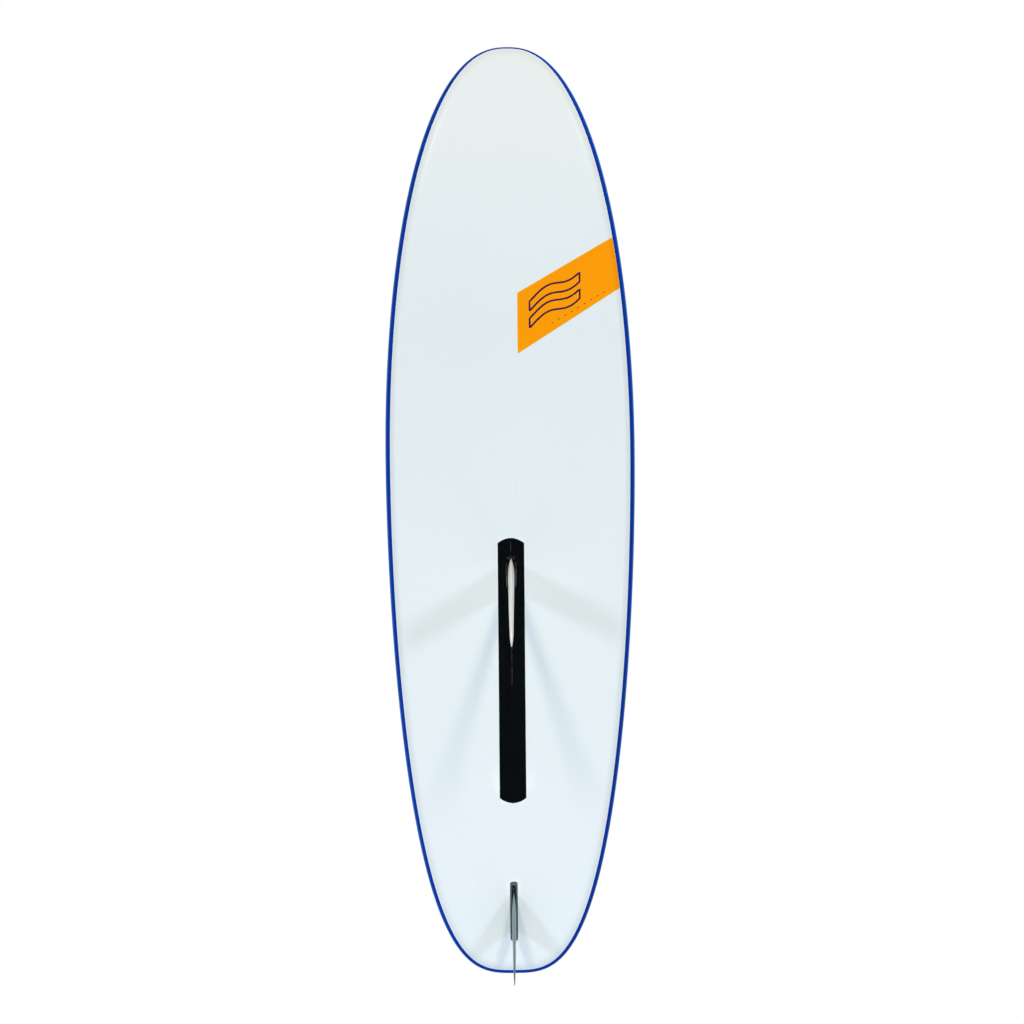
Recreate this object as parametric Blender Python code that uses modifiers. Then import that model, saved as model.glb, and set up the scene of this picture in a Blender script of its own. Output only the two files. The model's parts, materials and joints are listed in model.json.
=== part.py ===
"""Windsurf board: hull shells on a foam core, a daggerboard that pivots in its case, and deck fittings.

Metres. +Z is up, off the deck. The nose points to -Y. The origin is on the flat bottom, mid-length.
"""
import math

import bmesh
import bpy
from mathutils import Matrix, Vector

# Hull
LENGTH = 3.0
WIDTH = 0.80
THICKNESS = 0.135
FULL_THICK_TO = 0.61  # the board keeps its thickness this far each way from the middle
END_THINNING = 0.3
WIDEST_Y = -0.163
NOSE_FULLNESS = 0.43
TAIL_POWER = 1.85
TAIL_FULLNESS = 0.33
RAIL_HEIGHT = 0.42  # widest point, as a share of the thickness
BOTTOM_TUCK = 0.045  # how far in from the outline the bottom starts to round up
DECK_ROLL = 0.10
DECK_CROWN = 0.018
FLAT_FROM, FLAT_TO = -0.55, 1.0  # the bottom is dead flat between these stations
NOSE_LIFT, TAIL_LIFT = 0.18, 0.02
RIM_NOSE, RIM_MIDDLE, RIM_TAIL = 0.008, 0.016, 0.012  # seam's distance in from the outline
SKIN = 0.003
GAP = 0.0003
STATIONS = 37
FLAT_ANGLE = 0.0005  # hull faces that differ by less than this are one face

# Daggerboard well
LIP_HALF, LIP_FROM, LIP_TO, LIP_BULGE = 0.042, 0.104, 0.948, 0.016
WELL_HALF, WELL_FROM, WELL_TO, WELL_TOP = 0.015, 0.117, 0.935, 0.119
WELL_WALL = 0.003
DECK_SLOT_TO = 0.58
COLLAR_HALF, COLLAR_LIP, COLLAR_PLATE = 0.038, 0.022, 0.002
LIP_OPEN, LIP_OPEN_FROM, LIP_OPEN_TO = 0.0185, 0.159, 0.313

# Daggerboard
PIVOT = Vector((0.0, 0.200, 0.062))
RAKE = math.radians(15.5)  # the blade leans this far aft when it is down
SPAN, TIP_ROUND, TIP_LEAN = 0.68, 0.06, 0.010
ROOT_FROM, ROOT_TO = -0.044, 0.053  # leading and trailing edge at the pivot
TIP_FROM, TIP_TO = -0.036, 0.049
BLADE_THICK, TIP_THICK = 0.022, 0.011
HEAD_UP, HEAD_CORNER = 0.066, 0.028
FOIL_MIDDLE, FOIL_TAIL = 0.5, 0.2  # where a foil is thickest, and its trailing edge's share of that
AXLE_R, AXLE_HALF = 0.006, 0.030
PEDAL_HALF, TREAD_HALF, TREAD_THICK = 0.012, 0.030, 0.008
TREAD_FROM, TREAD_TO = 0.085, 0.190

# Fin, in its own frame on the tail's rocker
FIN_Y, FIN_BOX_HALF_LENGTH, FIN_BOX_HALF, FIN_BOX_DEPTH = 1.294, 0.095, 0.012, 0.030
FIN_SLOT_HALF, FIN_SLOT_HALF_LENGTH = 0.0072, 0.084
FIN_RAIL_HALF, FIN_TONGUE_TOP = 0.0095, 0.021
FIN_DEPTH, FIN_ROOT, FIN_TIP = 0.30, 0.132, 0.018
FIN_ROOT_FROM, FIN_TIP_FROM, FIN_BASE_TO = -0.062, 0.160, 0.082
FIN_THICK = 0.0135

# Deck fittings
TRACK_Y, TRACK_HALF_LENGTH, TRACK_HALF, TRACK_DEPTH = -0.17, 0.15, 0.024, 0.032
TRACK_SLOT, TRACK_KEY = 0.0055, 0.011
HANDLE_Y, HANDLE_HALF_LENGTH, HANDLE_HALF, HANDLE_DEPTH = -0.45, 0.090, 0.045, 0.040
VENT_Y = -0.66
TOW_Y = -1.27
PAD_THICK, PAD_LIFT, PAD_INNER = 0.005, 0.0008, 0.060
PAD_FROM, PAD_SPLIT, PAD_TO = -0.92, 0.62, 1.33
STRAP_SPAN, STRAP_WIDTH, STRAP_RISE, STRAP_THICK = 0.085, 0.055, 0.075, 0.009
STRAP_TAB = 0.026
STRAPS = {  # centre across, centre along, turn
    "front_left": (0.190, 0.80, -62), "front_right": (-0.190, 0.80, 62),
    "rear_left": (0.125, 1.14, -76), "rear_right": (-0.125, 1.14, 76)}
INSERT_R, INSERT_DEPTH, SCREW_R = 0.009, 0.030, 0.003
SMALL_SCREW, LARGE_SCREW = (0.0022, 0.004), (0.0025, 0.006)  # shank and head radius
STEEL = ((0.70, 0.71, 0.72), 0.3, 1.0)
ROUND = 32  # sides of a large round piece
SMALL_ROUND = 16  # sides of a fastener


def start():
    """Empty the scene and make the two collections."""
    for obj in list(bpy.data.objects):
        bpy.data.objects.remove(obj)
    made = {}
    for name in ("windsurf_board", "cutters"):
        made[name] = bpy.data.collections.new(name)
        bpy.context.scene.collection.children.link(made[name])
    return made["windsurf_board"], made["cutters"]


BOARD, CUTTERS = start()
HULL_CUTTERS = bpy.data.collections.new("hull_cutters")
CUTTERS.children.link(HULL_CUTTERS)


def material(name, color, rough, metal=0.0):
    """Principled material in one plain colour."""
    mat = bpy.data.materials.new(name)
    mat.use_nodes = True
    shader = mat.node_tree.nodes["Principled BSDF"]
    shader.inputs["Base Color"].default_value = (*color, 1.0)
    shader.inputs["Roughness"].default_value = rough
    shader.inputs["Metallic"].default_value = metal
    return mat


def add(name, mesh, look=None, parent=None, cutter=None):
    """Put a mesh in the scene as a part, or as a cutter in the collection given."""
    obj = bpy.data.objects.new(name, mesh)
    (cutter or BOARD).objects.link(obj)
    obj.parent = parent
    if cutter:
        obj.display_type = "WIRE"
        obj.hide_render = True
    if look:
        mesh.materials.append(material(name, *look))
    return obj


def from_bmesh(name, bm, merge_flat=False):
    """Turn a bmesh into a mesh with faces pointing out."""
    bmesh.ops.remove_doubles(bm, verts=bm.verts[:], dist=1e-6)
    if merge_flat:
        bmesh.ops.dissolve_limit(bm, angle_limit=FLAT_ANGLE, verts=bm.verts[:], edges=bm.edges[:])
    bmesh.ops.recalc_face_normals(bm, faces=bm.faces[:])
    mesh = bpy.data.meshes.new(name)
    bm.to_mesh(mesh)
    bm.free()
    return mesh


def block(name, low, high, look=None, parent=None, cutter=None):
    """Box between two corners."""
    low, high = Vector(low), Vector(high)
    bm = bmesh.new()
    bmesh.ops.create_cube(bm, size=1.0)
    bmesh.ops.scale(bm, vec=high - low, verts=bm.verts[:])
    bmesh.ops.translate(bm, vec=(low + high) / 2, verts=bm.verts[:])
    return add(name, from_bmesh(name, bm), look, parent, cutter)


def rod(name, radius, half_length, centre, axis="Z", look=None, parent=None, cutter=None):
    """Cylinder about a centre."""
    turn = Matrix.Rotation(math.pi / 2, 4, "Y") if axis == "X" else Matrix.Identity(4)
    half_side = Matrix.Rotation(math.pi / ROUND, 4, "Z")
    bm = bmesh.new()
    bmesh.ops.create_cone(bm, cap_ends=True, segments=ROUND, radius1=radius, radius2=radius,
                          depth=2 * half_length, matrix=Matrix.Translation(centre) @ turn @ half_side)
    return add(name, from_bmesh(name, bm), look, parent, cutter)


def plate(name, outline, half, flat=True, holes=(), look=None, parent=None, cutter=None, at=0.0):
    """Flat outline with thickness: in the XY plane at height at, or in the YZ plane at x = at."""
    curve = bpy.data.curves.new(name, "CURVE")
    curve.dimensions = "2D"
    curve.fill_mode = "BOTH"
    curve.extrude = half
    for points in (outline, *holes):
        spline = curve.splines.new("POLY")
        spline.points.add(len(points) - 1)
        spline.use_cyclic_u = True
        for point, (x, y) in zip(spline.points, points):
            point.co = (x, y, 0.0, 1.0)
    drawn = bpy.data.objects.new(name + "_outline", curve)
    CUTTERS.objects.link(drawn)
    bpy.context.view_layer.update()
    mesh = bpy.data.meshes.new_from_object(drawn.evaluated_get(bpy.context.evaluated_depsgraph_get()))
    bpy.data.objects.remove(drawn)
    stand = Matrix(((0, 0, 1, at), (1, 0, 0, 0), (0, 1, 0, 0), (0, 0, 0, 1)))
    mesh.transform(Matrix.Translation((0, 0, at)) if flat else stand)
    bm = bmesh.new()
    bm.from_mesh(mesh)
    bpy.data.meshes.remove(mesh)
    return add(name, from_bmesh(name, bm), look, parent, cutter)


def turned(name, profile, place=Matrix.Identity(4), look=None, parent=None, sides=ROUND):
    """Solid of revolution about Z, from its outer side top to bottom, put at a place."""
    line = bpy.data.meshes.new(name + "_profile")
    line.from_pydata([(r, 0.0, z) for r, z in profile], [(i, i + 1) for i in range(len(profile) - 1)], [])
    spun = bpy.data.objects.new(name + "_profile", line)
    CUTTERS.objects.link(spun)
    screw = spun.modifiers.new("Turn", "SCREW")
    screw.steps = screw.render_steps = sides
    screw.use_merge_vertices = True
    screw.merge_threshold = 0.00001
    bpy.context.view_layer.update()
    mesh = bpy.data.meshes.new_from_object(spun.evaluated_get(bpy.context.evaluated_depsgraph_get()))
    bpy.data.objects.remove(spun)
    mesh.transform(place)
    bm = bmesh.new()
    bm.from_mesh(mesh)
    bpy.data.meshes.remove(mesh)
    return add(name, from_bmesh(name, bm), look, parent)


def boolean(obj, cutter, operation="DIFFERENCE"):
    """Cut a piece with one cutter, or with every cutter in a collection."""
    cut = obj.modifiers.new("Cut", "BOOLEAN")
    cut.operation = operation
    if isinstance(cutter, bpy.types.Collection):
        cut.operand_type = "COLLECTION"
        cut.collection = cutter
    else:
        cut.object = cutter
    return obj


def smooth(*objects):
    """Shade round pieces smooth."""
    for obj in objects:
        for face in obj.data.polygons:
            face.use_smooth = True


def arc(centre, radius, start_deg, end_deg, steps):
    """Points along an arc."""
    angles = [math.radians(start_deg + (end_deg - start_deg) * i / steps) for i in range(steps + 1)]
    return [(centre[0] + radius * math.cos(a), centre[1] + radius * math.sin(a)) for a in angles]


def rounded(x0, x1, y0, y1, radius, steps=5):
    """Rectangle with round corners."""
    corners = ((x1 - radius, y0 + radius, -90), (x1 - radius, y1 - radius, 0),
               (x0 + radius, y1 - radius, 90), (x0 + radius, y0 + radius, 180))
    return [p for x, y, a in corners for p in arc((x, y), radius, a, a + 90, steps)]


def bulged(half, y0, y1, bulge, steps=9):
    """Long strip whose two ends bow outward."""
    ends = []
    for end, side in ((y1, 1), (y0, -1)):
        for i in range(steps + 1):
            x = side * half * (1 - 2 * i / steps)
            ends.append((x, end - side * bulge * (x / half) ** 2))
    return ends


# ---------------------------------------------------------------- hull shape


def half_width(y):
    """Half the plan width at a station."""
    if y < WIDEST_Y:
        u = min((WIDEST_Y - y) / (WIDEST_Y + LENGTH / 2), 1.0)
        return WIDTH / 2 * (1 - u ** 2) ** NOSE_FULLNESS
    u = min((y - WIDEST_Y) / (LENGTH / 2 - WIDEST_Y), 1.0)
    return WIDTH / 2 * (1 - u ** TAIL_POWER) ** TAIL_FULLNESS


def bottom_height(y):
    """Rocker line."""
    if y < FLAT_FROM:
        return NOSE_LIFT * ((FLAT_FROM - y) / (LENGTH / 2 + FLAT_FROM)) ** 2.2
    if y > FLAT_TO:
        return TAIL_LIFT * ((y - FLAT_TO) / (LENGTH / 2 - FLAT_TO)) ** 2
    return 0.0


def thickness(y):
    """Thickness on the centreline."""
    u = max(0.0, abs(y) - FULL_THICK_TO) / (LENGTH / 2 - FULL_THICK_TO)
    return THICKNESS * (1 - END_THINNING * u ** 1.8)


def rim(y):
    """How far in from the outline the two shells meet."""
    if y < WIDEST_Y:
        u = (WIDEST_Y - y) / (WIDEST_Y + LENGTH / 2)
        return RIM_MIDDLE + (RIM_NOSE - RIM_MIDDLE) * u ** 2
    return RIM_MIDDLE + (RIM_TAIL - RIM_MIDDLE) * (y - WIDEST_Y) / (LENGTH / 2 - WIDEST_Y)


def under(y, inset):
    """Height of the bottom at a distance in from the outline."""
    s = max(0.0, 1 - inset / BOTTOM_TUCK)
    rise = RAIL_HEIGHT * thickness(y) * (1 - math.sqrt(1 - s * s))
    return bottom_height(y) + rise


def over(x, y, inset=DECK_ROLL):
    """Height of the deck."""
    s = max(0.0, 1 - inset / DECK_ROLL)
    roll = math.sqrt(1 - s ** 2.4)
    crown = DECK_CROWN * (x / half_width(y)) ** 2 if inset > 0 else 0.0
    return bottom_height(y) + thickness(y) * RAIL_HEIGHT + (thickness(y) * (1 - RAIL_HEIGHT) - crown) * roll


def outline_points():
    """Plan outline on the +X side from nose to tail, each point with its inward direction."""
    angles = [math.pi * (i / (STATIONS - 1) - 0.5) for i in range(STATIONS)]
    ys = [LENGTH / 2 * math.sin(a) for a in angles]
    points = [Vector((half_width(y), y)) for y in ys]
    points[0].x = points[-1].x = 0.0
    found = []
    for i, point in enumerate(points):
        before = points[i - 1] if i else Vector((-points[1].x, points[1].y))
        after = points[i + 1] if i < STATIONS - 1 else Vector((-points[-2].x, points[-2].y))
        along = (after - before).normalized()
        found.append((point, Vector((-along.y, along.x))))
    return found


def hull_rows(seam_shift):
    """One row of points for each station, from the bottom's middle round the rail to the deck's middle."""
    rows = []
    for point, inward in outline_points():
        seam = rim(point.y) + seam_shift
        low_rings = [BOTTOM_TUCK, (BOTTOM_TUCK + seam) / 2, seam, 0.4 * seam, 0.1 * seam, 0.0]
        high_rings = [DECK_ROLL * s for s in (0.02, 0.1, 0.26, 0.55, 1.0)]
        low = [(point + inward * d, d) for d in low_rings]
        high = [(point + inward * d, d) for d in high_rings]
        row = [Vector((low[0][0].x * f, low[0][0].y, under(low[0][0].y, BOTTOM_TUCK))) for f in (0, 1 / 3, 2 / 3)]
        row += [Vector((p.x, p.y, under(p.y, d))) for p, d in low]
        row += [Vector((p.x, p.y, over(p.x, p.y, d))) for p, d in high]
        last = high[-1][0]
        row += [Vector((last.x * f, last.y, over(last.x * f, last.y))) for f in (2 / 3, 1 / 3, 0)]
        rows.append(row)
    return rows


SEAM_COLUMN = 5  # in hull_rows, the columns up to here are the bottom shell's


def hull_surface(seam_shift=0.0):
    """Closed outer surface of the hull; faces with material index 0 are the bottom's, 1 the deck's."""
    rows = hull_rows(seam_shift)
    bm = bmesh.new()
    for side in (1, -1):
        grid = [[bm.verts.new((p.x * side, p.y, p.z)) for p in row] for row in rows]
        for i in range(len(grid) - 1):
            for j in range(len(grid[0]) - 1):
                quad = [grid[i][j], grid[i + 1][j], grid[i + 1][j + 1], grid[i][j + 1]]
                face = bm.faces.new(quad if side == 1 else [quad[0], *quad[:0:-1]])
                face.material_index = 0 if j < SEAM_COLUMN else 1
    bmesh.ops.remove_doubles(bm, verts=bm.verts[:], dist=1e-6)
    bmesh.ops.triangulate(bm, faces=bm.faces[:], quad_method="FIXED")
    bmesh.ops.recalc_face_normals(bm, faces=bm.faces[:])
    bm.normal_update()
    return bm


def shell_mesh(name, zone):
    """One shell: the faces of its zone, and the same faces a skin's thickness inside."""
    bm = hull_surface(GAP if zone == 0 else 0.0)
    inside = {v: v.co - v.normal * SKIN for v in bm.verts}
    bmesh.ops.delete(bm, geom=[f for f in bm.faces if f.material_index != zone], context="FACES")
    faces, border = bm.faces[:], [e.link_loops[0] for e in bm.edges if e.is_boundary]
    twins = {v: bm.verts.new(inside[v]) for v in bm.verts[:]}
    for face in faces:
        bm.faces.new([twins[v] for v in reversed(face.verts)])
    for loop in border:
        a, b = loop.vert, loop.link_loop_next.vert
        bm.faces.new([b, a, twins[a], twins[b]])
    for face in bm.faces:
        face.material_index = 0
    return from_bmesh(name, bm)


def core_mesh(name):
    """Foam core: the hull's surface moved in by a skin and a gap."""
    bm = hull_surface()
    for v, moved in [(v, v.co - v.normal * (SKIN + GAP)) for v in bm.verts]:
        v.co = moved
    for face in bm.faces:
        face.material_index = 0
    return from_bmesh(name, bm, merge_flat=True)


# ---------------------------------------------------------------- hull and its openings


def hull():
    """Core and two shells, with room cut for every fitting."""
    pieces = [
        add("foam_core", core_mesh("foam_core"), ((0.93, 0.93, 0.90), 0.9)),
        add("bottom_shell", shell_mesh("bottom_shell", 0), ((0.80, 0.86, 0.90), 0.25)),
        add("deck_shell", shell_mesh("deck_shell", 1), ((0.01, 0.10, 0.45), 0.25))]
    for piece in pieces:
        boolean(piece, HULL_CUTTERS)


def well_outline(grow, low):
    """Side view of the well: long below, and open to the deck over its front part only."""
    front, back, deck_back, top = WELL_FROM - grow, WELL_TO + grow, DECK_SLOT_TO + grow, WELL_TOP + grow
    return [(front, low), (back, low), (back, top), (deck_back, top), (deck_back, 0.2), (front, 0.2)]


def daggerboard_well():
    """Case, its slot lips, and the collar round the deck slot."""
    flange_low, flange_high = SKIN + GAP, SKIN + GAP + WELL_WALL
    outer = WELL_HALF + WELL_WALL
    roof = WELL_TOP + WELL_WALL
    lips = bulged(LIP_HALF + GAP, LIP_FROM - GAP, LIP_TO + GAP, LIP_BULGE)
    plate("cut_lips", lips, SKIN + 0.0002, cutter=HULL_CUTTERS)
    block("cut_flange", (-LIP_HALF - 0.0063, WELL_FROM - 0.021, SKIN + 0.0001),
          (LIP_HALF + 0.0063, WELL_TO + 0.021, flange_high + GAP), cutter=HULL_CUTTERS)
    plate("cut_case", well_outline(WELL_WALL + GAP, 0.002), outer + GAP, flat=False, cutter=HULL_CUTTERS)

    case = block("daggerboard_case", (-outer, WELL_FROM - WELL_WALL, flange_low),
                 (outer, WELL_TO + WELL_WALL, roof), ((0.05, 0.05, 0.06), 0.5))
    flange = block("case_flange", (-LIP_HALF - 0.006, WELL_FROM - 0.020, flange_low),
                   (LIP_HALF + 0.006, WELL_TO + 0.020, flange_high), cutter=CUTTERS)
    inside = plate("case_inside", well_outline(0.0, -0.01), WELL_HALF, flat=False, cutter=CUTTERS)
    boolean(case, flange, "UNION")
    boolean(case, inside)
    for side in (1, -1):
        seat = rod("cut_bearing", 0.014 + GAP, 0.05, (side * (WELL_HALF + 0.047), PIVOT.y, PIVOT.z), "X",
                   cutter=CUTTERS)
        boolean(case, seat)

    opened = []
    for i in range(17):
        t = i / 16
        opened.append((GAP + LIP_OPEN * math.sin(math.pi * t) ** 0.8,
                       LIP_OPEN_FROM + (LIP_OPEN_TO - LIP_OPEN_FROM) * t))
    edge = [p for p in bulged(LIP_HALF, LIP_FROM, LIP_TO, LIP_BULGE) if p[0] > 0.001]
    aft = sorted(p for p in edge if p[1] > LIP_OPEN_TO)
    fore = sorted((p for p in edge if p[1] < LIP_OPEN_TO), reverse=True)
    ring = [(GAP, LIP_FROM), *opened, (GAP, LIP_TO), *aft, *fore]
    half = (SKIN - GAP) / 2
    for side, name in ((1, "left"), (-1, "right")):
        plate("slot_lip_" + name, [(side * x, y) for x, y in ring], half, at=half, look=((0.02, 0.02, 0.025), 0.35))

    top = over(0, PIVOT.y)
    low = roof + GAP
    collar = plate("deck_slot_collar", rounded(-COLLAR_HALF, COLLAR_HALF, WELL_FROM - COLLAR_LIP,
                   DECK_SLOT_TO + COLLAR_LIP, 0.02), COLLAR_PLATE / 2, at=top + GAP + COLLAR_PLATE / 2,
                   look=((0.03, 0.03, 0.035), 0.45))
    skirt = block("collar_skirt", (-outer, WELL_FROM - WELL_WALL, low),
                  (outer, DECK_SLOT_TO + WELL_WALL, top + GAP + 0.001), cutter=CUTTERS)
    boolean(collar, skirt, "UNION")
    boolean(collar, inside)
    places = [(x, y) for x in (-0.029, 0.029) for y in (WELL_FROM + 0.01, DECK_SLOT_TO - 0.01)]
    screws("collar_screw", [Matrix.Translation((x, y, top + GAP + COLLAR_PLATE)) for x, y in places],
           *SMALL_SCREW, 0.012, (collar,))


def drill(name, places, radius, depth, pieces=(), hull_too=True):
    """Clearance holes at the places, through the pieces and, if wanted, into the hull."""
    sides = SMALL_ROUND if radius < 0.01 else ROUND
    half_side = Matrix.Rotation(math.pi / sides, 4, "Z")  # keeps corners off the hull's centreline
    bm = bmesh.new()
    for place in places:
        bmesh.ops.create_cone(bm, cap_ends=True, segments=sides, radius1=radius, radius2=radius,
                              depth=2 * depth, matrix=place @ half_side)
    holes = add("cut_" + name, from_bmesh("cut_" + name, bm), cutter=CUTTERS)
    if hull_too:
        HULL_CUTTERS.objects.link(holes)
    for piece in pieces:
        boolean(piece, holes)


def screws(name, places, shank, head, length, drilled=()):
    """Pan-head screws at the places, heads up, with clearance drilled through the pieces named."""
    profile = [(0.0, GAP + 0.0022), (head * 0.7, GAP + 0.0020), (head, GAP + 0.0010), (head, GAP),
               (shank, GAP), (shank, -length), (0.0, -length - shank)]
    for i, place in enumerate(places):
        number = "" if len(places) == 1 else "_%d" % (i + 1)
        smooth(turned(name + number, profile, place, STEEL, sides=SMALL_ROUND))
    drill(name, places, shank + 0.0004, length + shank + 0.001, drilled)


# ---------------------------------------------------------------- daggerboard


def foil_half(t, tail=FOIL_TAIL):
    """Half thickness of a symmetric foil at a share t of its chord, for a thickness of 1."""
    if t < FOIL_MIDDLE:
        return 0.5 * math.sin(math.pi / 2 * t / FOIL_MIDDLE) ** 0.62
    return 0.5 * (1 - (1 - tail) * ((t - FOIL_MIDDLE) / (1 - FOIL_MIDDLE)) ** 1.7)


def foil_loft(name, sections, across=10):
    """Loft of foil sections, chord along +Y: (height, leading edge, trailing edge, thickness, tail's share)."""
    shares = [0.5 - 0.5 * math.cos(math.pi * i / across) for i in range(across + 1)]
    bm = bmesh.new()
    rings = []
    for z, lead, trail, thick, tail in sections:
        side = [(foil_half(t, tail) * thick, lead + (trail - lead) * t) for t in shares]
        points = side + [(-x, y) for x, y in side[:0:-1]]
        rings.append([bm.verts.new((x, y, z)) for x, y in points])
    for a, b in zip(rings, rings[1:]):
        for i in range(len(a)):
            j = (i + 1) % len(a)
            bm.faces.new([a[i], a[j], b[j], b[i]])
    bm.faces.new(rings[0])
    bm.faces.new(rings[-1])
    return from_bmesh(name, bm)


def blade_sections():
    """Foil sections from the round-cornered top of the head, past the pivot, to the round tip."""
    head_from, tip_from = HEAD_UP - HEAD_CORNER, SPAN - TIP_ROUND
    rows = []
    for angle in (90, 65, 45, 25, 0):
        corner = HEAD_CORNER * (1 - math.cos(math.radians(angle)))
        height = head_from + HEAD_CORNER * math.sin(math.radians(angle))
        rows.append((height, ROOT_FROM + corner, ROOT_TO - corner, BLADE_THICK, FOIL_TAIL))
    depths = [0.0, 0.1, 0.25, 0.4, 0.54, tip_from]
    depths += [tip_from + TIP_ROUND * math.sin(math.radians(a)) for a in (25, 45, 60, 72, 82)]
    for depth in depths:
        share = depth / SPAN
        q = max(0.0, (depth - tip_from) / TIP_ROUND)
        taper = math.sqrt(1 - q * q)
        lead = ROOT_FROM + (TIP_FROM - ROOT_FROM) * share
        trail = ROOT_TO + (TIP_TO - ROOT_TO) * share
        middle, half = (lead + trail) / 2 + TIP_LEAN * q, (trail - lead) / 2 * taper
        thick = (BLADE_THICK + (TIP_THICK - BLADE_THICK) * share) * math.sqrt(taper)
        rows.append((-depth, middle - half, middle + half, thick, FOIL_TAIL))
    return rows


def blade_frame(c, up):
    """A point given along the blade's chord and up its length, as (y, z) from the pivot at rest."""
    return (c * math.cos(RAKE) - up * math.sin(RAKE), c * math.sin(RAKE) + up * math.cos(RAKE))


def daggerboard():
    """Blade with its head, pedal and tread; they turn about the axle together."""
    hinge = bpy.data.objects.new("daggerboard_hinge", None)
    BOARD.objects.link(hinge)
    hinge.location = PIVOT

    blade = add("daggerboard_blade", foil_loft("daggerboard_blade", blade_sections()),
                ((0.86, 0.85, 0.80), 0.35), hinge)
    blade.rotation_euler.x = RAKE
    eye = rod("blade_eye", AXLE_R + 0.0004, 0.05, (0, 0, 0), "X", parent=hinge, cutter=CUTTERS)
    boolean(blade, eye)
    smooth(blade)

    lift = HEAD_UP + GAP
    outline = [blade_frame(-0.012, lift), blade_frame(0.024, lift), (0.060, 0.078), (0.197, 0.090),
               (0.195, 0.102), (0.045, 0.094), blade_frame(-0.008, lift + 0.012)]
    pedal = plate("daggerboard_pedal", outline, PEDAL_HALF, flat=False, look=((0.03, 0.03, 0.035), 0.4),
                  parent=hinge)
    slope = math.atan2(0.102 - 0.094, 0.195 - 0.045)
    rise = Matrix.Translation((0, 0.045, 0.094)) @ Matrix.Rotation(slope, 4, "X")
    tread = plate("pedal_tread", rounded(-TREAD_HALF, TREAD_HALF, TREAD_FROM - 0.045, TREAD_TO - 0.045, 0.012),
                  TREAD_THICK / 2, at=TREAD_THICK / 2 + GAP, look=((0.015, 0.015, 0.015), 0.8), parent=hinge)
    tread.data.transform(rise)
    places = [Matrix.Translation(PIVOT) @ rise @ Matrix.Translation((0, y, TREAD_THICK + GAP))
              for y in (0.062, 0.122)]
    screws("pedal_screw", places, *SMALL_SCREW, 0.013, (pedal, tread))

    for side, name in ((1, "left"), (-1, "right")):
        ring = [(0.030, WELL_HALF - GAP), (0.030, BLADE_THICK / 2 + GAP), (AXLE_R + 0.0006, BLADE_THICK / 2 + GAP),
                (AXLE_R + 0.0006, WELL_HALF - GAP), (0.030, WELL_HALF - GAP)]
        place = Matrix.Translation(PIVOT) @ Matrix.Rotation(side * math.pi / 2, 4, "Y")
        turned("friction_pad_" + name, ring, place, ((0.10, 0.10, 0.10), 0.9))
        cup = [(0.0, AXLE_HALF + 0.006), (0.014, AXLE_HALF + 0.006), (0.014, WELL_HALF + GAP),
               (AXLE_R + GAP, WELL_HALF + GAP), (AXLE_R + GAP, AXLE_HALF + GAP), (0.0, AXLE_HALF + GAP)]
        turned("pivot_bearing_" + name, cup, place, ((0.88, 0.88, 0.84), 0.5))
    rod("cut_bearings", 0.014 + GAP, AXLE_HALF + 0.006 + GAP, PIVOT, "X", cutter=HULL_CUTTERS)
    axle = rod("pivot_axle", AXLE_R, AXLE_HALF, PIVOT, "X", ((0.72, 0.73, 0.74), 0.25, 1.0))
    smooth(axle)


# ---------------------------------------------------------------- fin


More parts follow.
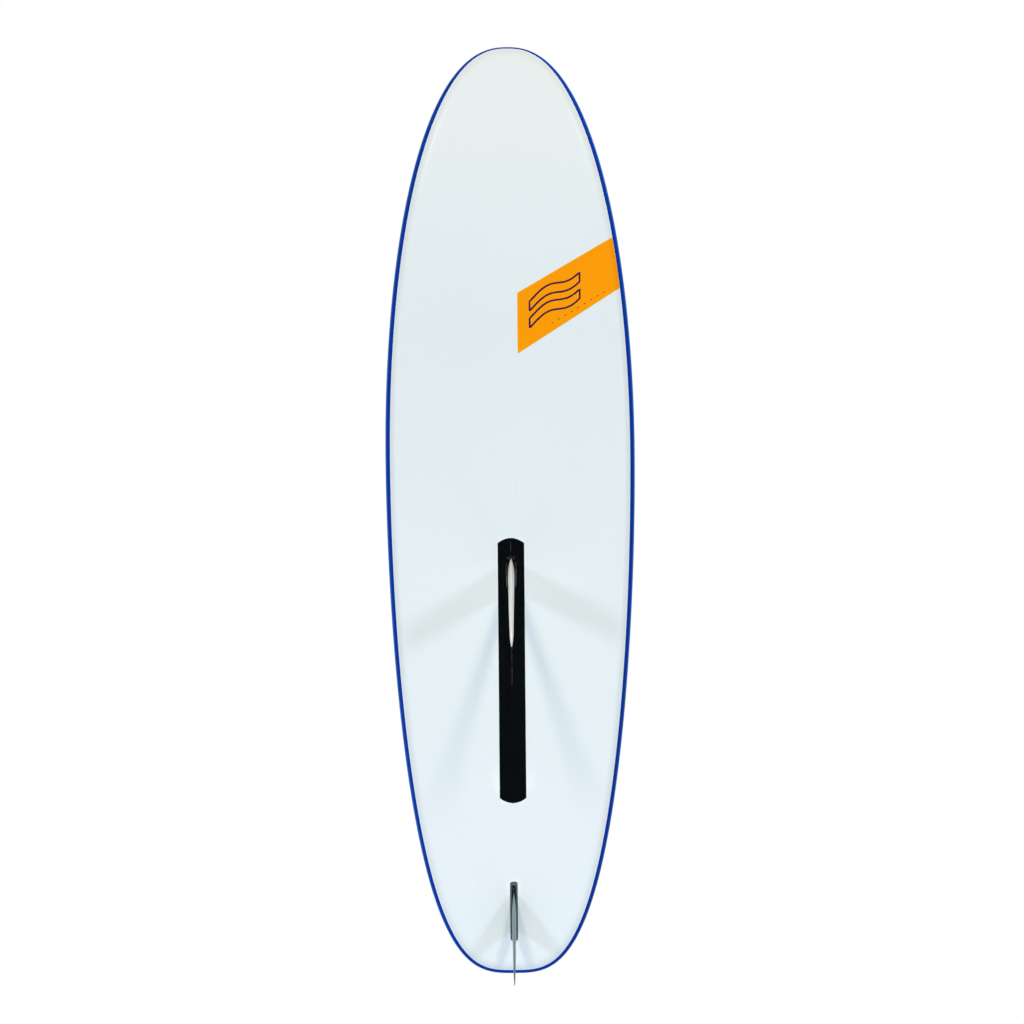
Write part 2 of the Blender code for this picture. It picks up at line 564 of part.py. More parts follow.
def fin():
    """Fin box let into the tail, with the fin held by a screw in front and a pin behind."""
    ends = [bottom_height(FIN_Y + s * FIN_BOX_HALF_LENGTH) for s in (-1, 1)]
    frame = bpy.data.objects.new("fin_frame", None)
    BOARD.objects.link(frame)
    frame.location = (0, FIN_Y, sum(ends) / 2)
    frame.rotation_euler.x = math.atan2(ends[1] - ends[0], 2 * FIN_BOX_HALF_LENGTH)

    body = rounded(-FIN_BOX_HALF, FIN_BOX_HALF, -FIN_BOX_HALF_LENGTH, FIN_BOX_HALF_LENGTH, 0.004)
    room = rounded(-FIN_BOX_HALF - GAP, FIN_BOX_HALF + GAP, -FIN_BOX_HALF_LENGTH - GAP,
                   FIN_BOX_HALF_LENGTH + GAP, 0.004)
    plate("cut_fin_box", room, 0.0203, at=0.01, parent=frame, cutter=HULL_CUTTERS)
    box = plate("fin_box", body, FIN_BOX_DEPTH / 2, at=FIN_BOX_DEPTH / 2, parent=frame,
                look=((0.05, 0.09, 0.09), 0.5))
    slot = rounded(-FIN_SLOT_HALF, FIN_SLOT_HALF, -FIN_SLOT_HALF_LENGTH, FIN_SLOT_HALF_LENGTH, 0.0015)
    mouth = plate("fin_slot", slot, 0.0125, at=0.0115, parent=frame, cutter=CUTTERS)
    rails = block("fin_slot_rails", (-FIN_RAIL_HALF, -FIN_SLOT_HALF_LENGTH, 0.013),
                  (FIN_RAIL_HALF, FIN_SLOT_HALF_LENGTH, FIN_TONGUE_TOP), parent=frame, cutter=CUTTERS)
    boolean(box, mouth)
    boolean(box, rails)

    rows = [(z, FIN_ROOT_FROM, FIN_BASE_TO, FIN_THICK, 1.0) for z in (FIN_TONGUE_TOP - GAP, 0.0)]
    for i in range(10):
        share = math.sin(math.pi / 2 * i / 9)
        lead = FIN_ROOT_FROM + (FIN_TIP_FROM - FIN_ROOT_FROM) * share ** 1.25
        chord = FIN_ROOT + (FIN_TIP - FIN_ROOT) * share
        thick = FIN_THICK * (1 - 0.35 * share - 0.45 * share ** 4)
        rows.append((-0.0006 - FIN_DEPTH * share, lead, lead + chord, thick, FOIL_TAIL))
    blade = add("fin_blade", foil_loft("fin_blade", rows, 8), ((0.35, 0.42, 0.45), 0.3), frame)
    smooth(blade)
    pin_y = FIN_ROOT_FROM + FIN_ROOT - 0.024
    boolean(blade, rod("cut_fin_pin", 0.0023, 0.03, (0, pin_y, 0.017), "X", parent=frame, cutter=CUTTERS))
    rod("fin_pin", 0.002, FIN_RAIL_HALF - GAP, (0, pin_y, 0.017), "X", ((0.75, 0.60, 0.25), 0.3, 1.0), frame)

    screw_y = FIN_ROOT_FROM - 0.010
    nut = block("fin_nut_plate", (-FIN_RAIL_HALF + GAP, screw_y - 0.0078, 0.0145),
                (FIN_RAIL_HALF - GAP, screw_y + 0.0078, 0.0185), STEEL, frame)
    boolean(nut, rod("cut_fin_nut", 0.0024, 0.02, (0, screw_y, 0.0165), parent=frame, cutter=CUTTERS))
    profile = [(0.0, 0.0020), (0.0040, 0.0020), (0.0040, 0.0045), (0.0020, 0.0045), (0.0020, 0.0215),
               (0.0, 0.0215)]
    smooth(turned("fin_screw", profile, Matrix.Translation((0, screw_y, 0)), STEEL, frame))


# ---------------------------------------------------------------- deck fittings


def mast_track():
    """T-slot box that the rig's foot is fastened in."""
    top = over(0, TRACK_Y) + 0.001
    y0, y1 = TRACK_Y - TRACK_HALF_LENGTH, TRACK_Y + TRACK_HALF_LENGTH
    outline = rounded(-TRACK_HALF, TRACK_HALF, y0, y1, 0.012)
    room = rounded(-TRACK_HALF - GAP, TRACK_HALF + GAP, y0 - GAP, y1 + GAP, 0.012)
    half = TRACK_DEPTH / 2
    plate("cut_track", room, half + 0.005, at=top - half + 0.005 - GAP, cutter=HULL_CUTTERS)
    box = plate("mast_track_box", outline, half, at=top - half, look=((0.04, 0.04, 0.045), 0.45))
    slot = rounded(-TRACK_SLOT, TRACK_SLOT, y0 + 0.016, y1 - 0.016, 0.005)
    boolean(box, plate("track_slot", slot, half, at=top, cutter=CUTTERS))
    boolean(box, block("track_groove", (-TRACK_KEY, y0 + 0.014, top - 0.016), (TRACK_KEY, y1 - 0.014, top - 0.007),
                       cutter=CUTTERS))
    boolean(box, rod("track_entry", TRACK_KEY + 0.0015, 0.008, (0, y0 + 0.030, top - 0.0075), cutter=CUTTERS))


def carry_handle():
    """Tray let into the deck, with a grip strap across it."""
    top = over(0, HANDLE_Y) + GAP
    y0, y1 = HANDLE_Y - HANDLE_HALF_LENGTH, HANDLE_Y + HANDLE_HALF_LENGTH
    wall = 0.003
    tray = plate("handle_tray", rounded(-HANDLE_HALF - 0.008, HANDLE_HALF + 0.008, y0 - 0.008, y1 + 0.008, 0.028),
                 0.001, at=top + 0.001, look=((0.03, 0.03, 0.035), 0.5))
    cup = plate("tray_cup", rounded(-HANDLE_HALF, HANDLE_HALF, y0, y1, 0.022), HANDLE_DEPTH / 2,
                at=top + 0.001 - HANDLE_DEPTH / 2, cutter=CUTTERS)
    hollow = plate("tray_hollow", rounded(-HANDLE_HALF + wall, HANDLE_HALF - wall, y0 + wall, y1 - wall, 0.019),
                   HANDLE_DEPTH / 2, at=top + 0.001 - HANDLE_DEPTH / 2 + wall + 0.002, cutter=CUTTERS)
    plate("cut_tray", rounded(-HANDLE_HALF - GAP, HANDLE_HALF + GAP, y0 - GAP, y1 + GAP, 0.022),
          HANDLE_DEPTH / 2 + 0.005, at=top - HANDLE_DEPTH / 2 + 0.0055 - GAP, cutter=HULL_CUTTERS)
    boolean(tray, cup, "UNION")
    boolean(tray, hollow)
    reach = HANDLE_HALF_LENGTH + 0.024
    strap_top = [(reach, 0.0035), (HANDLE_HALF_LENGTH + 0.006, 0.0035), (0.05, 0.010), (0.02, 0.013)]
    upper = [(-y, z) for y, z in strap_top] + [(y, z) for y, z in reversed(strap_top)]
    lower = [(y, z - 0.0035 if abs(y) > 0.06 else z - 0.009) for y, z in reversed(upper)]
    outline = [(HANDLE_Y + y, top + 0.002 + GAP + z) for y, z in upper + lower]
    strap = plate("handle_strap", outline, 0.016, flat=False, look=((0.02, 0.02, 0.02), 0.85))
    places = [Matrix.Translation((0, HANDLE_Y + s * (reach - 0.008), top + 0.002 + GAP + 0.0035)) for s in (-1, 1)]
    screws("handle_screw", places, *LARGE_SCREW, 0.020, (strap, tray))


def deck_frame(y, lift):
    """Frame on the deck's middle at a station, tilted with the deck, a little above it."""
    slope = math.atan2(over(0, y + 0.02) - over(0, y - 0.02), 0.04)
    return Matrix.Translation((0, y, over(0, y) + lift)) @ Matrix.Rotation(slope, 4, "X")


def vent():
    """Pressure vent: threaded insert, ring seal and plug."""
    place = deck_frame(VENT_Y, 0.0008)
    insert = [(0.014, 0.0018), (0.014, GAP), (0.011, GAP), (0.011, -0.022), (0.004, -0.022), (0.004, -0.012),
              (0.0066, -0.012), (0.0066, -0.0025), (0.010, -0.0025), (0.010, 0.0018), (0.014, 0.0018)]
    turned("vent_insert", insert, place, ((0.03, 0.03, 0.035), 0.5))
    drill("vent", [place], 0.011 + GAP, 0.0225)
    ring = [(0.0085 + 0.0010 * math.cos(a), -0.0012 + 0.0010 * math.sin(a))
            for a in [math.pi / 2 - 2 * math.pi * i / 8 for i in range(9)]]
    smooth(turned("vent_o_ring", ring, place, ((0.02, 0.02, 0.02), 0.7), sides=SMALL_ROUND))
    plug = [(0.0, 0.0030), (0.0088, 0.0030), (0.0094, 0.0022), (0.0094, 0.0001), (0.0062, 0.0001),
            (0.0062, -0.0115), (0.0, -0.0115)]
    body = turned("vent_plug", plug, place, ((0.80, 0.78, 0.72), 0.4))
    slot = block("cut_plug_slot", (-0.0012, -0.007, 0.0014), (0.0012, 0.007, 0.01), cutter=CUTTERS)
    slot.data.transform(place)
    boolean(body, slot)


def tow_eye():
    """Webbing loop at the nose, under a screw."""
    frame = deck_frame(TOW_Y, 0.0006)
    loop = [(0.018, 0.0), (0.018, 0.0022), (0.0, 0.0022), (-0.030, 0.0060), (-0.056, 0.0120), (-0.060, 0.0098),
            (-0.056, 0.0076), (-0.030, 0.0030), (-0.012, 0.0)]
    eye = plate("tow_loop", loop, 0.010, flat=False, look=((0.02, 0.02, 0.02), 0.85))
    eye.data.transform(frame)
    screws("tow_screw", [frame @ Matrix.Translation((0, 0.004, 0.0022))], *LARGE_SCREW, 0.016, (eye,))


def pad_mesh(name, y0, y1, inner, steps_y, steps_x):
    """Foam deck pad: a grid laid on the deck between an inner edge and a margin from the outline."""
    bm = bmesh.new()
    layers = []
    for lift in (PAD_LIFT, PAD_LIFT + PAD_THICK):
        grid = []
        for i in range(steps_y + 1):
            y = y0 + (y1 - y0) * i / steps_y
            low, high = inner(y)
            row = []
            for j in range(steps_x + 1):
                x = low + (high - low) * j / steps_x
                row.append(bm.verts.new((x, y, over(x, y) + lift)))
            grid.append(row)
        layers.append(grid)
    low, high = layers
    for i in range(steps_y):
        for j in range(steps_x):
            bm.faces.new([low[i][j], low[i][j + 1], low[i + 1][j + 1], low[i + 1][j]])
            bm.faces.new([high[i][j], high[i + 1][j], high[i + 1][j + 1], high[i][j + 1]])
    rim_of = [(0, j) for j in range(steps_x)] + [(i, steps_x) for i in range(steps_y)]
    rim_of += [(steps_y, j) for j in range(steps_x, 0, -1)] + [(i, 0) for i in range(steps_y, 0, -1)]
    for (i, j), (k, m) in zip(rim_of, rim_of[1:] + rim_of[:1]):
        bm.faces.new([low[i][j], high[i][j], high[k][m], low[k][m]])
    return from_bmesh(name, bm)


def pad_edge(y):
    """Outer edge of the pads, kept on the flat of the deck."""
    return min(0.30, max(0.05, half_width(y) - DECK_ROLL - 0.003))


def deck_pads():
    """Left and right pads beside the centreline fittings, and one behind them."""
    look = ((0.10, 0.13, 0.17), 0.9)
    front = PAD_SPLIT - 0.008
    pads = [
        add("deck_pad_left", pad_mesh("deck_pad_left", PAD_FROM, front, lambda y: (PAD_INNER, pad_edge(y)), 14, 4),
            look),
        add("deck_pad_right", pad_mesh("deck_pad_right", PAD_FROM, front,
            lambda y: (-pad_edge(y), -PAD_INNER), 14, 4), look),
        add("deck_pad_rear", pad_mesh("deck_pad_rear", PAD_SPLIT, PAD_TO, lambda y: (-pad_edge(y), pad_edge(y)),
            8, 8), look)]
    return pads


def strap_outline(base):
    """Side view of a strap: two flat tabs and an arch between them."""
    steps = 14
    reach = STRAP_SPAN + STRAP_TAB
    thick = STRAP_THICK / 3
    outer = [(STRAP_SPAN * math.cos(math.pi * i / steps), base + thick + STRAP_RISE * math.sin(math.pi * i / steps))
             for i in range(steps + 1)]
    inner = [((STRAP_SPAN - STRAP_THICK) * math.cos(math.pi * i / steps),
              base + (STRAP_RISE - 2 * thick) * math.sin(math.pi * i / steps)) for i in range(steps + 1)]
    return [(reach, base + thick), *outer, (-reach, base + thick), (-reach, base), *inner[::-1], (reach, base)]


def stand(frame, u, v=0.0):
    """How far the deck stands above a frame's XY plane at a point of that plane."""
    point = frame @ Vector((u, v, 0))
    return over(point.x, point.y) - point.z


def footstraps(pads):
    """Four straps, each with a washer-headed screw and a hull insert at both ends."""
    seats, holes, straps = [], [], []
    tabs = [(s * u, v * STRAP_WIDTH / 2) for s in (-1, 1) for v in (-1, 1)
            for u in (STRAP_SPAN - STRAP_THICK, STRAP_SPAN + STRAP_TAB)]
    for name, (x, y, turn) in STRAPS.items():
        east = (over(x + 0.01, y) - over(x - 0.01, y)) / 0.02
        north = (over(x, y + 0.01) - over(x, y - 0.01)) / 0.02
        up = Vector((-east, -north, 1)).normalized()
        tilt = Vector((0, 0, 1)).rotation_difference(up).to_matrix().to_4x4()
        frame = Matrix.Translation((x, y, over(x, y))) @ tilt @ Matrix.Rotation(math.radians(turn), 4, "Z")
        base = max(stand(frame, u, v) for u, v in tabs) + PAD_LIFT + PAD_THICK + 2 * GAP
        strap = plate("footstrap_" + name, strap_outline(base), STRAP_WIDTH / 2, look=((0.03, 0.03, 0.03), 0.8))
        strap.data.transform(frame @ Matrix.Rotation(math.pi / 2, 4, "X"))
        straps.append(strap)
        for side in (-1, 1):
            end = side * (STRAP_SPAN + STRAP_TAB / 2)
            holes.append(frame @ Matrix.Translation((end, 0, stand(frame, end) - 2 * GAP)))
            seats.append(frame @ Matrix.Translation((end, 0, base + STRAP_THICK / 3)))
    head = [(0.0, 0.0046), (0.0050, 0.0040), (0.0055, 0.0018), (0.0085, 0.0015), (0.0085, GAP), (SCREW_R, GAP),
            (SCREW_R, -0.026), (0.0, -0.028)]
    bore = SCREW_R + 0.0006
    plug = [(INSERT_R, -0.0001), (INSERT_R, -INSERT_DEPTH), (bore, -INSERT_DEPTH), (bore, -0.0001),
            (INSERT_R, -0.0001)]
    for i, (seat, hole) in enumerate(zip(seats, holes)):
        smooth(turned("footstrap_screw_%d" % (i + 1), head, seat, STEEL, sides=SMALL_ROUND))
        turned("footstrap_insert_%d" % (i + 1), plug, hole, ((0.80, 0.80, 0.78), 0.5), sides=SMALL_ROUND)
    drill("strap_holes", seats, bore, 0.015, pads + straps, hull_too=False)
    drill("inserts", holes, INSERT_R + GAP, INSERT_DEPTH + GAP)


daggerboard_well()
daggerboard()
fin()
mast_track()
carry_handle()
vent()
tow_eye()
footstraps(deck_pads())
hull()
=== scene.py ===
"""Finishes for the windsurf board: smooth hull shells, slot lips, daggerboard, fin, deck pads and straps."""

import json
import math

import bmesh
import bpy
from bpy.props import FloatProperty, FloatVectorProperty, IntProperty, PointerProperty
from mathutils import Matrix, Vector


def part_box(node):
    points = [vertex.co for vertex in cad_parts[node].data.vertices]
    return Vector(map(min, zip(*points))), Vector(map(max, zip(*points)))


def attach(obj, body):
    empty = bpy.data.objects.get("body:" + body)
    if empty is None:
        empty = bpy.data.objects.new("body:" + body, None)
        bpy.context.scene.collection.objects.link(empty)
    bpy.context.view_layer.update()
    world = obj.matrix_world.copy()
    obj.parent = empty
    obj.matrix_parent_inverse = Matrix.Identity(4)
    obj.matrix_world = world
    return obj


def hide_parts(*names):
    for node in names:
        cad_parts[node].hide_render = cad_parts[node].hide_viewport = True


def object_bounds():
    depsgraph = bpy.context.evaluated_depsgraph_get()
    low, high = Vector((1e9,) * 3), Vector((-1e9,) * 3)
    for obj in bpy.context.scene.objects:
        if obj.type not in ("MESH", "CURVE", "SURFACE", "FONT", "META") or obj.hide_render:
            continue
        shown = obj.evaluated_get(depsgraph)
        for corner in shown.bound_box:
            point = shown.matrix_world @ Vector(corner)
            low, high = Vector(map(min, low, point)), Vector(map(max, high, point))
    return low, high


bl_info = {
    "name": "Windsurf board finish",
    "version": (1, 0, 0),
    "blender": (4, 5, 0),
    "location": "View3D > Sidebar > Board",
    "description": "Builds the finished pieces of a windsurf board around its packed frame",
    "category": "Object",
}

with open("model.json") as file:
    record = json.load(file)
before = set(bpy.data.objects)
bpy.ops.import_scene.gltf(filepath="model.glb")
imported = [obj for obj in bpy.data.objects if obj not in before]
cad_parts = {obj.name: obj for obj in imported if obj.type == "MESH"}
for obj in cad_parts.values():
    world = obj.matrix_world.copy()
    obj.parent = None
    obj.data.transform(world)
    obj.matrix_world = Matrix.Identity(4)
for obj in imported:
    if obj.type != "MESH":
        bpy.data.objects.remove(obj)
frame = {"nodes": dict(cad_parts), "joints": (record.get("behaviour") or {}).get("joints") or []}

FRAME_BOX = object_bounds()
HULL, BLADE_BODY = "hull", "daggerboard"

# ---------------------------------------------------------------- sizes taken from the frame

DECK_LOW, DECK_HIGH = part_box("deck_shell")
LIP_LOW, LIP_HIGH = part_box("slot_lip_left")
COLLAR_LOW, COLLAR_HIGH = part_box("deck_slot_collar")
TRACK_LOW, TRACK_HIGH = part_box("mast_track_box")
TRAY_LOW, TRAY_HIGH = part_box("handle_tray")
PIVOT = Vector(frame["joints"][0]["pos_m"])
LENGTH = DECK_HIGH[1] - DECK_LOW[1]

# Hull form, the same rules that the frame's shells follow
WIDTH = 0.80
THICKNESS = 0.135
FULL_THICK_TO, END_THINNING = 0.61, 0.3
WIDEST_Y = -0.163
NOSE_FULLNESS, TAIL_POWER, TAIL_FULLNESS = 0.43, 1.85, 0.33
RAIL_HEIGHT, BOTTOM_TUCK, DECK_ROLL, DECK_CROWN = 0.42, 0.045, 0.10, 0.018
FLAT_FROM, FLAT_TO, NOSE_LIFT, TAIL_LIFT = -0.55, 1.0, 0.18, 0.02
RIM_NOSE, RIM_MIDDLE, RIM_TAIL = 0.009, 0.0165, 0.0145
SKIN, GAP = 0.003, 0.0003
RAKE = math.radians(15.5)
WELL_HALF, WELL_FROM, DECK_SLOT_TO = 0.015, 0.117, 0.58
FIN_Y, FIN_BOX_HALF_LENGTH, FIN_BOX_HALF, FIN_BOX_CORNER = 1.294, 0.095, 0.012, 0.008
FIN_ROOT_FROM, FIN_BASE_TO, FIN_SWEEP = -0.062, 0.080, 0.222
FIN_ROOT, FIN_TAPER, FIN_THICK, FIN_DEPTH = 0.132, 0.114, 0.0135, 0.2985
FIN_TONGUE_TOP, FIN_ACROSS = 0.0205, 24
BLADE_LEAD, BLADE_TRAIL, BLADE_THICK, TIP_THINNING = -0.044, 0.053, 0.022, 0.011
BLADE_SPAN, TIP_ROUND, TIP_LEAN, HEAD_FLAT, HEAD_CORNER = 0.68, 0.06, 0.010, 0.038, 0.028
VENT_Y, TOW_Y = -0.66, -1.27
STRAPS = {"front_left": (0.190, 0.80, -62), "front_right": (-0.190, 0.80, 62),
          "rear_left": (0.125, 1.14, -76), "rear_right": (-0.125, 1.14, 76)}
STRAP_SPAN, STRAP_WIDTH, STRAP_RISE, STRAP_TAB = 0.085, 0.055, 0.075, 0.026
PAD_LIFT, PAD_THICK = 0.0008, 0.005
CREASE = math.radians(35)


def half_width(y):
    """Half the plan width at a station."""
    if y < WIDEST_Y:
        u = min((WIDEST_Y - y) / (WIDEST_Y + LENGTH / 2), 1.0)
        return WIDTH / 2 * (1 - u ** 2) ** NOSE_FULLNESS
    u = min((y - WIDEST_Y) / (LENGTH / 2 - WIDEST_Y), 1.0)
    return WIDTH / 2 * (1 - u ** TAIL_POWER) ** TAIL_FULLNESS


def bottom_height(y):
    """Rocker line."""
    if y < FLAT_FROM:
        return NOSE_LIFT * ((FLAT_FROM - y) / (LENGTH / 2 + FLAT_FROM)) ** 2.2
    if y > FLAT_TO:
        return TAIL_LIFT * ((y - FLAT_TO) / (LENGTH / 2 - FLAT_TO)) ** 2
    return 0.0


def thickness(y):
    """Thickness on the centreline."""
    u = max(0.0, abs(y) - FULL_THICK_TO) / (LENGTH / 2 - FULL_THICK_TO)
    return THICKNESS * (1 - END_THINNING * u ** 1.8)


def rim(y):
    """How far in from the outline the two shells meet."""
    if y < WIDEST_Y:
        u = (WIDEST_Y - y) / (WIDEST_Y + LENGTH / 2)
        return RIM_MIDDLE + (RIM_NOSE - RIM_MIDDLE) * u ** 12
    return RIM_MIDDLE + (RIM_TAIL - RIM_MIDDLE) * (y - WIDEST_Y) / (LENGTH / 2 - WIDEST_Y)


def under(y, inset=BOTTOM_TUCK):
    """Height of the bottom at a distance in from the outline."""
    s = max(0.0, 1 - inset / BOTTOM_TUCK)
    return bottom_height(y) + RAIL_HEIGHT * thickness(y) * (1 - math.sqrt(1 - s * s))


def over(x, y, inset=DECK_ROLL):
    """Height of the deck."""
    s = max(0.0, 1 - inset / DECK_ROLL)
    crown = DECK_CROWN * (x / half_width(y)) ** 2 if inset > 0 else 0.0
    rise = (thickness(y) * (1 - RAIL_HEIGHT) - crown) * math.sqrt(1 - s ** 2.4)
    return bottom_height(y) + thickness(y) * RAIL_HEIGHT + rise


def outline_points(stations):
    """Plan outline on the +X side from nose to tail, each point with its inward direction."""
    ys = [LENGTH / 2 * math.sin(math.pi * (i / (stations - 1) - 0.5)) for i in range(stations)]
    points = [Vector((half_width(y), y)) for y in ys]
    points[0].x = points[-1].x = 0.0
    found = []
    for i, point in enumerate(points):
        before = points[i - 1] if i else Vector((-points[1].x, points[1].y))
        after = points[i + 1] if i < stations - 1 else Vector((-points[-2].x, points[-2].y))
        along = (after - before).normalized()
        found.append((point, Vector((-along.y, along.x))))
    return found


# ---------------------------------------------------------------- mesh helpers


def make(name, bm, looks, body=HULL, slot=None, stands_for=(), smooth=True, weld=1e-6):
    """Turn a bmesh into a piece with its materials, riding on a body."""
    if weld:
        bmesh.ops.remove_doubles(bm, verts=bm.verts[:], dist=weld)
    bmesh.ops.recalc_face_normals(bm, faces=bm.faces[:])
    mesh = bpy.data.meshes.new(name)
    bm.to_mesh(mesh)
    bm.free()
    for look in looks if isinstance(looks, (list, tuple)) else [looks]:
        mesh.materials.append(look)
    for face in mesh.polygons:
        face.use_smooth = smooth
    mesh.set_sharp_from_angle(angle=CREASE)
    piece = bpy.data.objects.new(name, mesh)
    bpy.context.scene.collection.objects.link(piece)
    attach(piece, body)
    if stands_for:
        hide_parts(*stands_for)
    return piece


def gathered(parts):
    """Several separate closed shapes as one, so that they are cut in one go."""
    first = parts[0]
    for part in parts[1:]:
        mesh = bpy.data.meshes.new("part")
        part.to_mesh(mesh)
        part.free()
        first.from_mesh(mesh)
        bpy.data.meshes.remove(mesh)
    return first


def helper(name, bm):
    """A cutter that is thrown away once it is used."""
    bmesh.ops.remove_doubles(bm, verts=bm.verts[:], dist=1e-6)
    bmesh.ops.recalc_face_normals(bm, faces=bm.faces[:])
    mesh = bpy.data.meshes.new(name)
    bm.to_mesh(mesh)
    bm.free()
    obj = bpy.data.objects.new(name, mesh)
    bpy.context.scene.collection.objects.link(obj)
    return obj


def bake_in(piece):
    """Apply a piece's modifiers and keep its smooth shading."""
    with bpy.context.temp_override(object=piece, active_object=piece, selected_objects=[piece]):
        for change in list(piece.modifiers):
            bpy.ops.object.modifier_apply(modifier=change.name)


def carve(piece, cutters, operation="DIFFERENCE"):
    """Cut or join helpers into a piece, then remove them."""
    for cutter in cutters:
        cut = piece.modifiers.new("Carve", "BOOLEAN")
        cut.operation = operation
        cut.object = cutter
        cut.solver = "EXACT"
    bake_in(piece)
    piece.data.set_sharp_from_angle(angle=CREASE)
    for cutter in cutters:
        bpy.data.objects.remove(cutter)
    return piece


def edges(piece, width, segments=3, angle=35):
    """Round a piece's sharp edges."""
    piece.data.set_sharp_from_angle(angle=math.pi)
    soft = piece.modifiers.new("Edges", "BEVEL")
    soft.width = width
    soft.segments = segments
    soft.limit_method = "ANGLE"
    soft.angle_limit = math.radians(angle)
    soft.harden_normals = True
    bake_in(piece)
    return piece


def prism(outline, low, high, flat=True, bm=None):
    """Closed solid between two levels: outline in XY, or in YZ with the levels along X."""
    bm = bm or bmesh.new()
    lift = (lambda p, h: (p[0], p[1], h)) if flat else (lambda p, h: (h, p[0], p[1]))
    lower = [bm.verts.new(lift(p, low)) for p in outline]
    upper = [bm.verts.new(lift(p, high)) for p in outline]
    bm.faces.new(lower[::-1])
    bm.faces.new(upper)
    for i in range(len(outline)):
        j = (i + 1) % len(outline)
        bm.faces.new([lower[i], lower[j], upper[j], upper[i]])
    return bm


def skin_grid(bm, rows, close=False, material=0):
    """Quads between rows of points; close joins the last row to the first."""
    grid = [[bm.verts.new(p) for p in row] for row in rows]
    pairs = list(zip(grid, grid[1:])) + ([(grid[-1], grid[0])] if close else [])
    for a, b in pairs:
        for j in range(len(a) - 1):
            bm.faces.new([a[j], b[j], b[j + 1], a[j + 1]]).material_index = material
    return grid


def ring_loft(bm, rings, caps=True):
    """Closed loft through rings of equal point counts."""
    loops = [[bm.verts.new(p) for p in ring] for ring in rings]
    for a, b in zip(loops, loops[1:]):
        for i in range(len(a)):
            j = (i + 1) % len(a)
            bm.faces.new([a[i], a[j], b[j], b[i]])
    if caps:
        bm.faces.new(loops[0][::-1])
        bm.faces.new(loops[-1])
    return loops


def spin(profile, place, steps=40, bm=None):
    """Solid of revolution about a frame's Z from a profile of (radius, height)."""
    bm = bm or bmesh.new()
    rows = []
    for i in range(steps):
        a = 2 * math.pi * (i + 0.5) / steps
        rows.append([place @ Vector((r * math.cos(a), r * math.sin(a), z)) for r, z in profile])
    skin_grid(bm, rows, close=True)
    return bm


def arc(centre, radius, start_deg, end_deg, steps):
    """Points along an arc."""
    angles = [math.radians(start_deg + (end_deg - start_deg) * i / steps) for i in range(steps + 1)]
    return [(centre[0] + radius * math.cos(a), centre[1] + radius * math.sin(a)) for a in angles]


def rounded(x0, x1, y0, y1, radius, steps=8):
    """Rectangle with round corners."""
    corners = ((x1 - radius, y0 + radius, -90), (x1 - radius, y1 - radius, 0),
               (x0 + radius, y1 - radius, 90), (x0 + radius, y0 + radius, 180))
    return [p for x, y, a in corners for p in arc((x, y), radius, a, a + 90, steps)]


def bulged(half, y0, y1, bulge, steps=21):
    """Long strip whose two ends bow outward."""
    ends = []
    for end, side in ((y1, 1), (y0, -1)):
        for i in range(steps + 1):
            x = side * half * (1 - 2 * i / steps)
            ends.append((x, end - side * bulge * (x / half) ** 2))
    return ends


def cylinder(radius, half_length, place, steps=40):
    """Closed cylinder about a frame's Z."""
    bm = bmesh.new()
    turn = Matrix.Rotation(math.pi / steps, 4, "Z")
    bmesh.ops.create_cone(bm, cap_ends=True, segments=steps, radius1=radius, radius2=radius,
                          depth=2 * half_length, matrix=place @ turn)
    return bm


def deck_frame(x, y, turn=0.0, lift=0.0):
    """Frame that lies on the deck at a point, turned about its upward axis."""
    east = (over(x + 0.01, y) - over(x - 0.01, y)) / 0.02
    north = (over(x, y + 0.02) - over(x, y - 0.02)) / 0.04
    up = Vector((-east, -north, 1)).normalized()
    tilt = Vector((0, 0, 1)).rotation_difference(up).to_matrix().to_4x4()
    return (Matrix.Translation((x, y, over(x, y))) @ tilt @ Matrix.Rotation(math.radians(turn), 4, "Z")
            @ Matrix.Translation((0, 0, lift)))


# ---------------------------------------------------------------- shader groups


def group_sockets(tree, inputs, outputs):
    """Give a node group its sockets."""
    for name, value in inputs:
        socket = tree.interface.new_socket(name=name, in_out="INPUT", socket_type="NodeSocketFloat")
        socket.default_value = value
    for name in outputs:
        tree.interface.new_socket(name=name, in_out="OUTPUT", socket_type="NodeSocketFloat")


def new_group(name, inputs, outputs):
    """Empty shader group with its input and output nodes."""
    tree = bpy.data.node_groups.new(name, "ShaderNodeTree")
    group_sockets(tree, inputs, outputs)
    return tree, tree.nodes.new("NodeGroupInput"), tree.nodes.new("NodeGroupOutput")


def maths(tree, kind, a, b=None):
    """One maths node, with numbers or sockets going in."""
    node = tree.nodes.new("ShaderNodeMath")
    node.operation = kind
    for socket, value in zip(node.inputs, (a, b)):
        if value is None:
            continue
        if isinstance(value, (int, float)):
            socket.default_value = value
        else:
            tree.links.new(value, socket)
    return node.outputs[0]


def between(tree, value, low, high):
    """Stretch the part of a value between two levels to 0 to 1."""
    node = tree.nodes.new("ShaderNodeMapRange")
    node.clamp = True
    tree.links.new(value, node.inputs["Value"])
    node.inputs["From Min"].default_value = low
    node.inputs["From Max"].default_value = high
    return node.outputs["Result"]


def noise(tree, vector, scale, detail=4.0, rough=0.55):
    """Noise texture read in object space."""
    node = tree.nodes.new("ShaderNodeTexNoise")
    node.inputs["Detail"].default_value = detail
    node.inputs["Roughness"].default_value = rough
    tree.links.new(vector, node.inputs["Vector"])
    if isinstance(scale, (int, float)):
        node.inputs["Scale"].default_value = scale
    else:
        tree.links.new(scale, node.inputs["Scale"])
    return node.outputs["Fac"]


